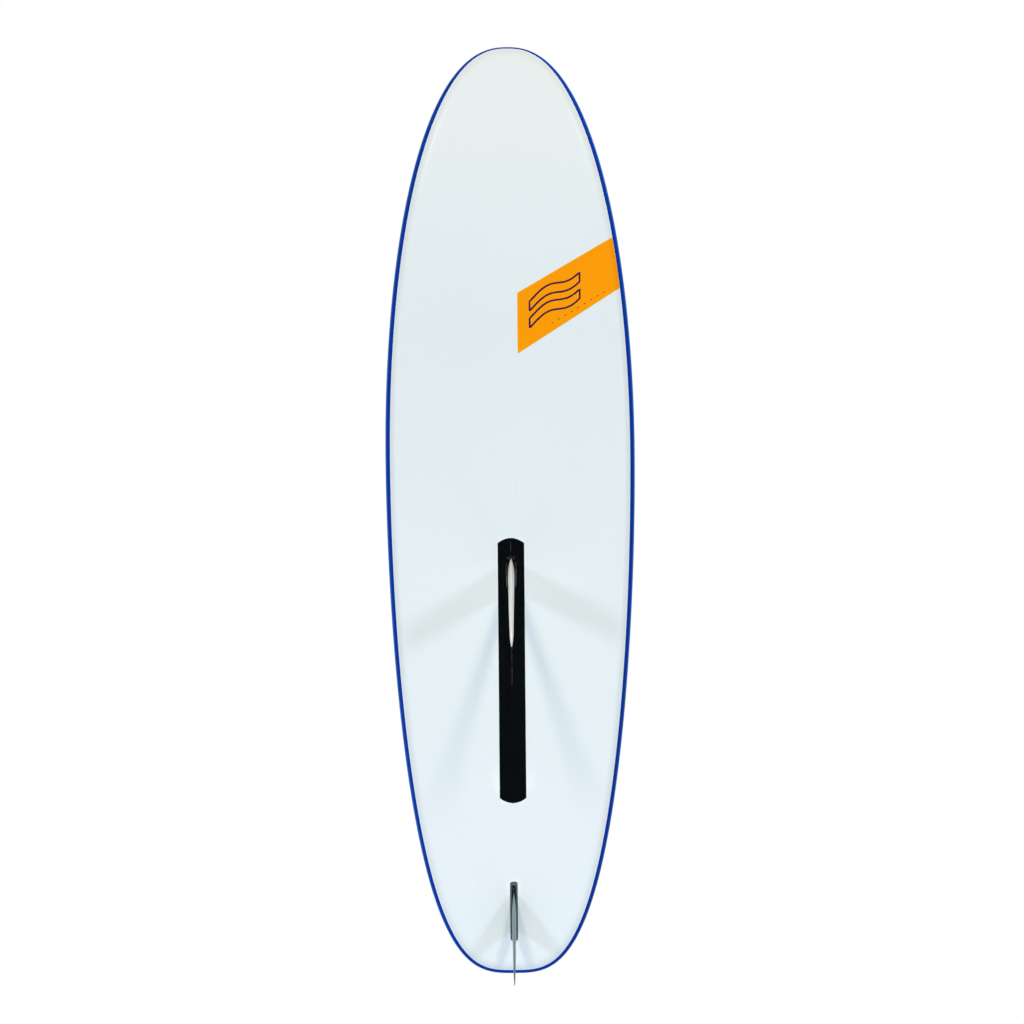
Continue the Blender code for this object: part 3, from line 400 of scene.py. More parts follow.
def place_of(tree, stretch=(1, 1, 1)):
    """Object coordinates, stretched."""
    where = tree.nodes.new("ShaderNodeTexCoord")
    move = tree.nodes.new("ShaderNodeMapping")
    move.inputs["Scale"].default_value = stretch
    tree.links.new(where.outputs["Object"], move.inputs["Vector"])
    return move.outputs["Vector"]


def handling_marks():
    """Soft cloudy marks, fine hairlines along the board, and the grime that gathers at edges."""
    tree, given, out = new_group("handling_marks", [("Cloud Scale", 6.0), ("Hairlines", 0.5)],
                                 ["Cloud", "Hairline", "Edge"])
    cloud = between(tree, noise(tree, place_of(tree), given.outputs["Cloud Scale"]), 0.3, 0.7)
    lines = noise(tree, place_of(tree, (95, 3, 95)), 1.0, 3.0)
    thin = between(tree, lines, 0.63, 0.70)
    broken = between(tree, noise(tree, place_of(tree), 9.0), 0.45, 0.65)
    hair = maths(tree, "MULTIPLY", maths(tree, "MULTIPLY", thin, broken), given.outputs["Hairlines"])
    shape = tree.nodes.new("ShaderNodeNewGeometry")
    edge = between(tree, shape.outputs["Pointiness"], 0.52, 0.62)
    tree.links.new(cloud, out.inputs["Cloud"])
    tree.links.new(hair, out.inputs["Hairline"])
    tree.links.new(edge, out.inputs["Edge"])
    return tree


def moulded_grain():
    """Fine pebbled grain of moulded plastic, rubber and foam."""
    tree, given, out = new_group("moulded_grain", [("Scale", 900.0), ("Pores", 0.3)], ["Height", "Tone"])
    cells = tree.nodes.new("ShaderNodeTexVoronoi")
    cells.feature = "SMOOTH_F1"
    tree.links.new(place_of(tree), cells.inputs["Vector"])
    tree.links.new(given.outputs["Scale"], cells.inputs["Scale"])
    fine = noise(tree, place_of(tree), maths(tree, "MULTIPLY", given.outputs["Scale"], 0.35), 3.0)
    pores = maths(tree, "MULTIPLY", between(tree, fine, 0.35, 0.65), given.outputs["Pores"])
    height = maths(tree, "ADD", cells.outputs["Distance"], pores)
    tree.links.new(height, out.inputs["Height"])
    tree.links.new(between(tree, fine, 0.3, 0.7), out.inputs["Tone"])
    return tree


def woven_cloth():
    """Plain weave: threads that go over and under, with fuzz."""
    tree, given, out = new_group("woven_cloth", [("Pitch", 900.0), ("Fuzz", 0.3)], ["Height", "Thread"])
    waves = []
    for direction in ("X", "Y"):
        wave = tree.nodes.new("ShaderNodeTexWave")
        wave.bands_direction = direction
        wave.wave_profile = "SIN"
        tree.links.new(place_of(tree), wave.inputs["Vector"])
        tree.links.new(given.outputs["Pitch"], wave.inputs["Scale"])
        wave.inputs["Distortion"].default_value = 0.4
        wave.inputs["Detail"].default_value = 1.0
        waves.append(wave.outputs["Fac"])
    mesh_up = maths(tree, "MAXIMUM", waves[0], waves[1])
    fuzz = maths(tree, "MULTIPLY", noise(tree, place_of(tree), 1400.0), given.outputs["Fuzz"])
    tree.links.new(maths(tree, "ADD", mesh_up, fuzz), out.inputs["Height"])
    tree.links.new(between(tree, mesh_up, 0.4, 1.0), out.inputs["Thread"])
    return tree


def laminate_cloth():
    """Glass cloth showing faintly through resin."""
    tree, given, out = new_group("laminate_cloth", [("Pitch", 260.0)], ["Tone", "Height"])
    check = tree.nodes.new("ShaderNodeTexChecker")
    tree.links.new(place_of(tree), check.inputs["Vector"])
    tree.links.new(given.outputs["Pitch"], check.inputs["Scale"])
    fibre = noise(tree, place_of(tree, (40, 900, 40)), 1.0, 2.0)
    squares, strands = maths(tree, "MULTIPLY", check.outputs["Fac"], 0.4), maths(tree, "MULTIPLY", fibre,
                                                                                 0.6)
    tone = maths(tree, "ADD", squares, strands)
    tree.links.new(tone, out.inputs["Tone"])
    tree.links.new(fibre, out.inputs["Height"])
    return tree


GROUPS = {}


def build_groups():
    """Make the shared effects once."""
    for maker in (handling_marks, moulded_grain, woven_cloth, laminate_cloth):
        GROUPS[maker.__name__] = maker()


def use(mat, name, **values):
    """Place a shared effect in a material with its own numbers."""
    node = mat.node_tree.nodes.new("ShaderNodeGroup")
    node.node_tree = GROUPS[name]
    for key, value in values.items():
        node.inputs[key.replace("_", " ")].default_value = value
    return node


def tint(tree, factor, low, high):
    """Mix two colours by a mask."""
    node = tree.nodes.new("ShaderNodeMix")
    node.data_type = "RGBA"
    tree.links.new(factor, node.inputs["Factor"])
    for socket, value in ((node.inputs[6], low), (node.inputs[7], high)):
        if isinstance(value, (tuple, list)):
            socket.default_value = (*value[:3], 1.0)
        else:
            tree.links.new(value, socket)
    return node.outputs[2]


def scaled(color, by):
    """A colour made lighter or darker."""
    return tuple(min(1.0, c * by) for c in color[:3])


def surface(name, color, rough, vary=0.06, rough_vary=0.08, grain=None, bump=0.0002, strength=0.3,
            marks=(6.0, 0.4),
            worn=None, metal=0.0, coat=0.0, sheen=0.0, specular=0.5, tone=0.35):
    """Principled finish: mottled colour, marks in the gloss, worn edges and grain in the normal."""
    mat = bpy.data.materials.new(name)
    mat.use_nodes = True
    tree = mat.node_tree
    shader = tree.nodes["Principled BSDF"]
    shader.inputs["Metallic"].default_value = metal
    shader.inputs["Coat Weight"].default_value = coat
    shader.inputs["Coat Roughness"].default_value = 0.08
    shader.inputs["Sheen Weight"].default_value = sheen
    shader.inputs["Specular IOR Level"].default_value = specular
    touched = use(mat, "handling_marks", Cloud_Scale=marks[0], Hairlines=marks[1])
    shade = tint(tree, touched.outputs["Cloud"], scaled(color, 1 - vary), scaled(color, 1 + vary))
    shade = tint(tree, touched.outputs["Hairline"], shade, scaled(color, 0.72))
    shade = tint(tree, touched.outputs["Edge"], shade, worn or scaled(color, 1.25))
    gloss = maths(tree, "MULTIPLY_ADD", touched.outputs["Cloud"], rough_vary)
    gloss.node.inputs[2].default_value = rough - rough_vary / 2
    gloss = maths(tree, "ADD", gloss, maths(tree, "MULTIPLY", touched.outputs["Hairline"], 0.25))
    tree.links.new(gloss, shader.inputs["Roughness"])
    if grain:
        kind, numbers = grain
        texture = use(mat, kind, **numbers)
        light = texture.outputs["Thread" if kind == "woven_cloth" else "Tone"]
        lit = scaled(color, 1.5 if sheen else 1.25)
        shade = tint(tree, maths(tree, "MULTIPLY", light, tone), shade, lit)
        ridge = tree.nodes.new("ShaderNodeBump")
        ridge.inputs["Strength"].default_value = strength
        ridge.inputs["Distance"].default_value = bump
        tree.links.new(texture.outputs["Height"], ridge.inputs["Height"])
        tree.links.new(ridge.outputs["Normal"], shader.inputs["Normal"])
    tree.links.new(shade, shader.inputs["Base Color"])
    return mat


def pebbled(scale, pores):
    """Grain of plastic, rubber or foam, for surface()."""
    return "moulded_grain", {"Scale": scale, "Pores": pores}


def weave(pitch):
    """Woven cloth, for surface()."""
    return "woven_cloth", {"Pitch": pitch}


def glass(pitch):
    """Glass cloth in resin, for surface()."""
    return "laminate_cloth", {"Pitch": pitch}


LOOKS = {}


def build_looks(colours):
    """Every finish on the board, by the name of what wears it."""
    LOOKS.update(
        bottom=surface("bottom_gelcoat", colours.bottom, 0.32, 0.006, 0.08, pebbled(140.0, 0.2),
                       0.0001, 0.05, (2.2, 0.12), specular=0.15, tone=0.05),
        rail=surface("rail_gelcoat", colours.rail, 0.30, 0.04, 0.06, pebbled(160.0, 0.2),
                     0.0001, 0.06, (3.0, 0.35), specular=0.08, tone=0.1),
        # darker copy of the deck blue for the rail's underside beside the seam: painted shade
        pinline=surface("rail_pinline", colours.pinline, 0.30, 0.05, 0.06, marks=(3.0, 0.3), specular=0.03),
        foam=surface("core_foam", (0.90, 0.90, 0.87), 0.9, 0.04, 0.05, pebbled(320.0, 0.8),
                     0.0006, 0.6),
        sticker=surface("sticker_film", colours.sticker, 0.45, 0.02, 0.06, pebbled(500.0, 0.3),
                        0.00005, 0.1, (4.0, 0.3), specular=0.05, tone=0.05),
        ink=surface("sticker_ink", colours.ink, 0.5, 0.05, 0.05, marks=(20.0, 0.3), specular=0.1),
        lip=surface("lip_rubber", (0.0008, 0.0016, 0.0022), 0.42, 0.3, 0.12, pebbled(700.0, 0.3),
                    0.00008, 0.25, (14.0, 0.5), specular=0.03),
        blade=surface("blade_laminate", (0.97, 0.99, 0.93), 0.32, 0.012, 0.08, glass(190.0),
                      0.00005, 0.10, (9.0, 0.5), specular=0.3, tone=0.1),
        plastic=surface("black_moulding", (0.022, 0.023, 0.026), 0.42, 0.12, 0.12,
                        pebbled(1300.0, 0.4), 0.0001, 0.35, (18.0, 0.6), worn=(0.09, 0.09, 0.095)),
        tread=surface("tread_rubber", (0.012, 0.012, 0.013), 0.75, 0.2, 0.1, pebbled(900.0, 0.8),
                      0.0002, 0.6, (30.0, 0.2)),
        bearing=surface("bearing_plastic", (0.72, 0.72, 0.68), 0.5, 0.05, 0.1, pebbled(1500.0, 0.3),
                        0.00005, 0.2),
        steel=surface("stainless_steel", (0.62, 0.63, 0.64), 0.30, 0.06, 0.16,
                      pebbled(2600.0, 0.6), 0.00003, 0.25, (60.0, 0.9), metal=1.0),
        # steel darkened to stand for the shade inside the fin slot: painted shade
        dark_steel=surface("steel_painted_shade", (0.040, 0.046, 0.050), 0.42, 0.06, 0.12,
                           pebbled(2600.0, 0.6), 0.00003, 0.25, (60.0, 0.9), metal=1.0),
        brass=surface("pin_brass", (0.70, 0.52, 0.20), 0.32, 0.08, 0.14, pebbled(2600.0, 0.6),
                      0.00003, 0.25, (60.0, 0.9), metal=1.0),
        fin_box=surface("fin_box_moulding", (0.035, 0.062, 0.064), 0.40, 0.12, 0.1,
                        pebbled(900.0, 0.4), 0.0001, 0.3, (25.0, 0.5), worn=(0.13, 0.18, 0.18)),
        fin=surface("fin_laminate", colours.fin, 0.24, 0.04, 0.06, glass(240.0),
                    0.00004, 0.12, (16.0, 0.4), specular=0.35, tone=0.12),
        pad=surface("deck_foam", colours.pad, 0.88, 0.12, 0.06, pebbled(850.0, 1.0), 0.0003, 0.7,
                    (10.0, 0.2), sheen=0.15),
        strap=surface("strap_neoprene", (0.018, 0.018, 0.020), 0.82, 0.2, 0.08, weave(620.0),
                      0.0003, 0.6, (20.0, 0.1), sheen=0.4),
        webbing=surface("strap_webbing", (0.020, 0.020, 0.022), 0.75, 0.2, 0.08, weave(330.0),
                        0.0005, 0.8, (20.0, 0.1), sheen=0.3),
        thread=surface("stitch_thread", (0.30, 0.31, 0.33), 0.7, 0.1, 0.05, weave(1600.0),
                       0.0001, 0.4, sheen=0.2),
        vent=surface("vent_plastic", (0.62, 0.60, 0.54), 0.38, 0.05, 0.1, pebbled(1400.0, 0.3),
                     0.00005, 0.2, (40.0, 0.6)),
    )


def dress(look, *nodes):
    """Give CAD nodes that stay as they are a better finish."""
    for name in nodes:
        node = frame["nodes"][name]
        node.data.materials.clear()
        node.data.materials.append(LOOKS[look])


# ---------------------------------------------------------------- hull shells


def hull_rows(stations, seam_shift):
    """One row for each station, from the bottom's middle round the rail to the deck's middle."""
    low_shares = (1.0, 0.8, 0.62, 0.46, 0.30, 0.15)
    seam_shares = (1.0, 0.82, 0.64, 0.46, 0.30, 0.17, 0.08, 0.025, 0.0)
    high_shares = (0.006, 0.025, 0.06, 0.11, 0.18, 0.27, 0.38, 0.52, 0.68, 0.84, 1.0)
    inner = [i / 7 for i in range(7)]
    rows = []
    for point, inward in outline_points(stations):
        seam = rim(point.y) + seam_shift
        low = [seam + (BOTTOM_TUCK - seam) * s for s in low_shares] + [seam * s for s in seam_shares]
        edge = point + inward * BOTTOM_TUCK
        row = [(edge.x * f, edge.y, under(edge.y)) for f in inner]
        for d in low:
            p = point + inward * d
            row.append((p.x, p.y, under(p.y, d)))
        for share in high_shares:
            d = share * DECK_ROLL
            p = point + inward * d
            row.append((p.x, p.y, over(p.x, p.y, d)))
        row += [(p.x * f, p.y, over(p.x * f, p.y)) for f in reversed(inner)]
        rows.append([Vector(p) for p in row])
    seam_column = len(inner) + len(low_shares)
    # deck faces from the seam out to this column take the darker blue, painted shade on the rail's underside
    pinline_column = seam_column + len(seam_shares) - 5
    return rows, seam_column, pinline_column


def hull_shell(name, deck, stations, looks, **ride):
    """One smooth shell: its faces, and the same faces a skin's thickness inside."""
    rows, seam_column, pinline_column = hull_rows(stations, 0.0 if deck else GAP)
    bm = bmesh.new()
    keep = bm.faces.layers.int.new("keep")
    for side in (1, -1):
        grid = [[bm.verts.new((p.x * side, p.y, p.z)) for p in row] for row in rows]
        for a, b in zip(grid, grid[1:]):
            for j in range(len(a) - 1):
                quad = [a[j], b[j], b[j + 1], a[j + 1]]
                face = bm.faces.new(quad if side == 1 else quad[::-1])
                face[keep] = 1 if (j >= seam_column) == deck else 0
                # the rail's underside beside the seam gets the darker copy of the deck blue: painted shade
                face.material_index = 1 if deck and j < pinline_column else 0
    bmesh.ops.remove_doubles(bm, verts=bm.verts[:], dist=1e-6)
    bmesh.ops.recalc_face_normals(bm, faces=bm.faces[:])
    bm.normal_update()
    inside = {v: v.co - v.normal * SKIN for v in bm.verts}
    bmesh.ops.delete(bm, geom=[f for f in bm.faces if not f[keep]], context="FACES")
    faces, border = bm.faces[:], [e.link_loops[0] for e in bm.edges if e.is_boundary]
    twins = {v: bm.verts.new(inside[v]) for v in bm.verts[:]}
    for face in faces:
        bm.faces.new([twins[v] for v in reversed(face.verts)])
    for loop in border:
        a, b = loop.vert, loop.link_loop_next.vert
        bm.faces.new([b, a, twins[a], twins[b]]).material_index = loop.face.material_index
    return make(name, bm, looks, **ride)


def fin_frame():
    """Frame of the fin box, on the tail's rocker."""
    ends = [bottom_height(FIN_Y + s * FIN_BOX_HALF_LENGTH) for s in (-1, 1)]
    slope = math.atan2(ends[1] - ends[0], 2 * FIN_BOX_HALF_LENGTH)
    return Matrix.Translation((0, FIN_Y, sum(ends) / 2)) @ Matrix.Rotation(slope, 4, "X")


def strap_seats(lift=0.0):
    """Frames at the two ends of every strap."""
    for name, (x, y, turn) in STRAPS.items():
        reach = STRAP_SPAN + STRAP_TAB / 2
        for side in (-1, 1):
            yield deck_frame(x, y, turn) @ Matrix.Translation((side * reach, 0, lift))


class HullColours(bpy.types.PropertyGroup):
    """Colours a maker would choose."""

    bottom: FloatVectorProperty(name="Bottom", description="Gelcoat under the board", subtype="COLOR",
                                default=(0.745, 0.835, 0.84), min=0, max=1)
    rail: FloatVectorProperty(name="Deck and rail", description="Gelcoat of the deck shell",
                              subtype="COLOR",
                              default=(0.002, 0.16, 0.64), min=0, max=1)
    # darker copy of the deck blue, painted shade on the rail's underside beside the seam rather than a line
    # of its own
    pinline: FloatVectorProperty(name="Rail line", description="Dark line beside the seam", subtype="COLOR",
                                 default=(0.0005, 0.042, 0.40), min=0, max=1)
    sticker: FloatVectorProperty(name="Sticker", description="Film of the bottom sticker", subtype="COLOR",
                                 default=(0.94, 0.33, 0.0), min=0, max=1)
    ink: FloatVectorProperty(name="Sticker ink", description="Printed lines on the sticker",
                             subtype="COLOR",
                             default=(0.036, 0.004, 0.030), min=0, max=1)
    pad: FloatVectorProperty(name="Deck pads", description="Foam of the deck pads", subtype="COLOR",
                             default=(0.040, 0.046, 0.056), min=0, max=1)
    fin: FloatVectorProperty(name="Fin", description="Laminate of the fin", subtype="COLOR",
                             default=(0.125, 0.225, 0.25), min=0, max=1)


class BoardSizes(bpy.types.PropertyGroup):
    """Sizes of the finish, not of the frame."""

    stations: IntProperty(name="Hull stations", description="Cross sections along the hull", default=141,
                          min=41)
    film: FloatProperty(name="Sticker film", description="Thickness of the sticker", default=0.0002,
                        subtype="DISTANCE", unit="LENGTH")
    groove: FloatProperty(name="Pad groove", description="Depth of the grooves in the deck pads",
                          default=0.0016,
                          subtype="DISTANCE", unit="LENGTH")
    camera_distance: FloatProperty(name="Camera distance", description="From the bottom to the camera",
                                   default=8.0, subtype="DISTANCE", unit="LENGTH")


class WINDSURF_OT_hull(bpy.types.Operator):
    """Bottom and deck shells with their openings"""

    bl_idname = "windsurf.hull"
    bl_label = "Hull shells"

    def execute(self, context):
        stations = context.scene.windsurf_sizes.stations
        bottom = hull_shell("bottom_skin", False, stations, LOOKS["bottom"], slot="bottom_skin",
                            stands_for=("bottom_shell",))
        lips = bulged(LIP_HIGH[0] + GAP, LIP_LOW[1] - GAP, LIP_HIGH[1] + GAP, 0.016)
        box = rounded(-FIN_BOX_HALF - GAP, FIN_BOX_HALF + GAP, -FIN_BOX_HALF_LENGTH - GAP,
                      FIN_BOX_HALF_LENGTH + GAP, FIN_BOX_CORNER)
        at_fin = prism(box, -0.01, 0.0303)
        bmesh.ops.transform(at_fin, matrix=fin_frame(), verts=at_fin.verts[:])
        carve(bottom, [helper("rooms", gathered([prism(lips, -0.02, 0.0032), at_fin]))])

        deck = hull_shell("deck_skin", True, stations, [LOOKS["rail"], LOOKS["pinline"]], slot="deck_skin",
                          stands_for=("deck_shell",))
        rooms = [
            prism(rounded(-0.0183, 0.0183, WELL_FROM - 0.0033, DECK_SLOT_TO + 0.0033, 0.002), 0.11, 0.2),
            prism(rounded(TRACK_LOW[0] - GAP, TRACK_HIGH[0] + GAP, TRACK_LOW[1] - GAP, TRACK_HIGH[1] + GAP,
                          0.012),
                  0.10, 0.2),
            prism(rounded(TRAY_LOW[0] + 0.0077, TRAY_HIGH[0] - 0.0077, TRAY_LOW[1] + 0.0077,
                          TRAY_HIGH[1] - 0.0077,
                          0.022), 0.09, 0.2),
            cylinder(0.0113, 0.02, deck_frame(0, VENT_Y, lift=0.0008))]
        for seat in strap_seats():
            rooms.append(cylinder(0.0093, 0.02, seat, 24))
        carve(deck, [helper("rooms", gathered(rooms))])
        dress("foam", "foam_core")
        return {"FINISHED"}


# ---------------------------------------------------------------- sticker


STICKER_CORNERS = ((0.027, -0.483), (0.338, -0.680), (0.338, -0.857),
                   (0.027, -0.677))  # near, far, far, near


def inset_at(x, y, outline):
    """Distance from a point of the plan to the outline."""
    return min((Vector((x, y)) - point).length for point, _ in outline)


def sticker_outline():
    """The part of the hull's outline that the sticker runs up to."""
    return [p for p in outline_points(700) if p[0].x > 0.25 and p[0].y < -0.4]


def film_edge(outline, along):
    """How far across the sticker may run before it meets the seam."""
    low, high = 0.6, 1.25
    for _ in range(24):
        middle = (low + high) / 2
        near = Vector(STICKER_CORNERS[0]).lerp(Vector(STICKER_CORNERS[3]), along)
        far = Vector(STICKER_CORNERS[1]).lerp(Vector(STICKER_CORNERS[2]), along)
        spot = near.lerp(far, middle)
        inside = spot.x < half_width(spot.y) and inset_at(spot.x, spot.y, outline) > rim(spot.y) + 0.0008
        low, high = (middle, high) if inside else (low, middle)
    return low


def film_point(outline, across, along, drop):
    """Point under the hull at a place in the sticker."""
    near = Vector(STICKER_CORNERS[0]).lerp(Vector(STICKER_CORNERS[3]), along)
    far = Vector(STICKER_CORNERS[1]).lerp(Vector(STICKER_CORNERS[2]), along)
    spot = near.lerp(far, across)
    return Vector((spot.x, spot.y, under(spot.y, inset_at(spot.x, spot.y, outline)) - drop))


def plan_point(outline, spot, drop):
    """Point under the hull at a place in plan."""
    return Vector((spot[0], spot[1], under(spot[1], inset_at(spot[0], spot[1], outline)) - drop))


def stroke(bm, outline, points, half, drop, thick=0.00012):
    """Printed line of even width along points of the plan."""
    rows = []
    for i, (x, y) in enumerate(points):
        a, b = points[max(i - 1, 0)], points[min(i + 1, len(points) - 1)]
        along = Vector((b[0] - a[0], b[1] - a[1])).normalized()
        left = (x - along.y * half, y + along.x * half)
        right = (x + along.y * half, y - along.x * half)
        rows.append([plan_point(outline, left, drop), plan_point(outline, right, drop),
                     plan_point(outline, right, drop - thick), plan_point(outline, left, drop - thick)])
    ring_loft(bm, rows)


def wave_band(start, length, swell, height):
    """Outline of one rolling wave band, in plan, climbing towards the rail."""
    along, up = Vector((math.cos(math.radians(30)), -math.sin(math.radians(30)))), Vector((0, -1))
    lower, upper = [], []
    for i in range(33):
        t = i / 32
        rise = swell * math.sin(2 * math.pi * t - 0.5)
        base = Vector(start) + along * (length * t) + up * rise
        lower.append(tuple(base))
        upper.append(tuple(base + up * height))
    ring = lower + upper[::-1]
    return ring + ring[:2]


class WINDSURF_OT_sticker(bpy.types.Operator):
    """Sticker on the bottom with a plain wave figure"""

    bl_idname = "windsurf.sticker"
    bl_label = "Bottom sticker"

    def execute(self, context):
        thick = context.scene.windsurf_sizes.film
        outline = sticker_outline()
        bm = bmesh.new()
        lower, upper = [], []
        for i in range(31):
            along = i / 30
            reach = film_edge(outline, along)
            lower.append([film_point(outline, reach * j / 60, along, 0.0003 + thick) for j in range(61)])
            upper.append([film_point(outline, reach * j / 60, along, 0.00005) for j in range(61)])
        a, b = skin_grid(bm, lower), skin_grid(bm, upper)
        ring = [(0, j) for j in range(60)] + [(i, 60) for i in range(30)]
        ring += [(30, j) for j in range(60, 0, -1)] + [(i, 0) for i in range(30, 0, -1)]
        for (i, j), (k, m) in zip(ring, ring[1:] + ring[:1]):
            bm.faces.new([a[i][j], a[k][m], b[k][m], b[i][j]])
        make("bottom_sticker", bm, LOOKS["sticker"], slot="bottom_skin", weld=None)

        ink = bmesh.new()
        drop = 0.0003 + thick + 0.0001
        for x, y in ((0.066, -0.571), (0.066, -0.625)):
            stroke(ink, outline, wave_band((x, y), 0.185, 0.012, 0.030), 0.0030, drop)
        for k in range(9):
            x, y = 0.136 + 0.0206 * k, -0.579 - 0.0121 * k
            stroke(ink, outline, [(x, y), (x + 0.005, y - 0.003)], 0.0012, drop)
        make("sticker_figure", ink, LOOKS["ink"], slot="bottom_skin", weld=None)
        return {"FINISHED"}


# ---------------------------------------------------------------- daggerboard well


def lip_gap(y):
    """Half the opening between the lips; they part round the lowered blade."""
    front, back = 0.160, 0.328
    if not front < y < back:
        return 0.00003
    t = (y - front) / (back - front)
    return 0.00003 + 0.0178 * math.sin(math.pi * t ** 0.62) ** 0.75


def lip_section(y, edge):
    """Cross section of one lip, from its glued outer edge to its free inner edge and back."""
    gap = lip_gap(y)
    push = gap / 0.0184
    outer, inner = [], []
    steps = 16
    for i in range(steps + 1):
        t = i / steps
        x = edge + (gap - edge) * t
        crown = 0.0006 * math.sin(math.pi * min(1.0, 2.2 * t)) + 0.0010 * t ** 6
        bend = 0.0085 * push * t ** 4
        thin = 0.0024 * (1 - 0.35 * t ** 3)
        outer.append((x, -0.0012 - crown - bend))
        inner.append((x, -0.0012 - crown - bend + thin))
    return outer + inner[::-1]


class WINDSURF_OT_well(bpy.types.Operator):
    """Slot lips, collar and the pieces inside the well"""

    bl_idname = "windsurf.well"
    bl_label = "Daggerboard well"

    def execute(self, context):
        front, back = LIP_LOW[1], LIP_HIGH[1]
        for side, name in ((1, "left"), (-1, "right")):
            rings = []
            count = 150
            for i in range(count + 1):
                t = 0.5 - 0.5 * math.cos(math.pi * i / count)
                t = 0.25 * t + 0.75 * i / count
                base = front + (back - front) * t
                nearest = min(base - front, back - base)
                edge = LIP_HIGH[0]
                if nearest < 0.016:
                    edge = max(0.0012, LIP_HIGH[0] * math.sqrt(nearest / 0.016))
                rings.append([Vector((side * x, base, z)) for x, z in lip_section(base, edge)])
            bm = bmesh.new()
            ring_loft(bm, rings)
            make("lip_" + name, bm, LOOKS["lip"], slot="lip_rubber", stands_for=("slot_lip_" + name,))
        collar = prism(rounded(COLLAR_LOW[0], COLLAR_HIGH[0], COLLAR_LOW[1], COLLAR_HIGH[1], 0.020),
                       COLLAR_HIGH[2] - 0.002, COLLAR_HIGH[2])
        piece = make("well_collar", collar, LOOKS["plastic"], slot="fitting_plastic",
                     stands_for=("deck_slot_collar",))
        skirt = helper("skirt", prism(rounded(-0.018, 0.018, WELL_FROM - 0.003, DECK_SLOT_TO + 0.003,
                                              0.004),
                                      COLLAR_LOW[2], COLLAR_HIGH[2] - 0.0005))
        carve(piece, [skirt], "UNION")
        slot = helper("slot", prism(rounded(-WELL_HALF, WELL_HALF, WELL_FROM, DECK_SLOT_TO, 0.003), 0.1,
                                    0.2))
        carve(piece, [slot])
        edges(piece, 0.0008)
        dress("plastic", "daggerboard_case")
        dress("plastic", "pivot_bearing_left", "pivot_bearing_right")
        dress("bearing", *["footstrap_insert_%d" % i for i in range(1, 9)])
        dress("tread", "friction_pad_left", "friction_pad_right")
        dress("steel", "pivot_axle")
        return {"FINISHED"}


# ---------------------------------------------------------------- daggerboard and fin


def foil_half(t, tail=0.2):
    """Half thickness of a symmetric foil at a share t of its chord, for a thickness of 1."""
    if t < 0.5:
        return 0.5 * math.sin(math.pi * t) ** 0.62
    return 0.5 * (1 - (1 - tail) * (2 * t - 1) ** 1.7)


def foil_ring(z, lead, trail, thick, across=30, tail=0.2):
    """One foil section, as a closed ring of points with a softened trailing edge."""
    shares = [0.5 - 0.5 * math.cos(math.pi * i / across) for i in range(across + 1)]
    side = [(foil_half(t, tail) * thick, lead + (trail - lead) * t) for t in shares]
    soft = side[-1][0] * 0.6 * 0.2 / tail
    side += [(soft, trail + soft * 0.5), (0.0, trail + soft * 0.7)]
    return [Vector((x, y, z)) for x, y in side] + [Vector((-x, y, z)) for x, y in side[-2:0:-1]]


def blade_ring(up, depth):
    """Foil section of the daggerboard above or below its pivot."""
    if up > 0:
        over_flat = max(0.0, up - HEAD_FLAT)
        corner = HEAD_CORNER - math.sqrt(max(0.0, HEAD_CORNER ** 2 - over_flat ** 2))
        return foil_ring(up, BLADE_LEAD + corner, BLADE_TRAIL - corner, BLADE_THICK)
    share, q = depth / BLADE_SPAN, max(0.0, (depth - BLADE_SPAN + TIP_ROUND) / TIP_ROUND)
    taper = math.sqrt(max(0.0001, 1 - q * q))
    lead, trail = BLADE_LEAD + 0.008 * share, BLADE_TRAIL - 0.004 * share
    middle, half = (lead + trail) / 2 + TIP_LEAN * q, (trail - lead) / 2 * taper
    return foil_ring(-depth, middle - half, middle + half,
                     (BLADE_THICK - TIP_THINNING * share) * math.sqrt(taper))


def blade_frame(c, up):
    """A point given along the blade's chord and up its length, as (y, z) from the pivot at rest."""
    return (c * math.cos(RAKE) - up * math.sin(RAKE), c * math.sin(RAKE) + up * math.cos(RAKE))


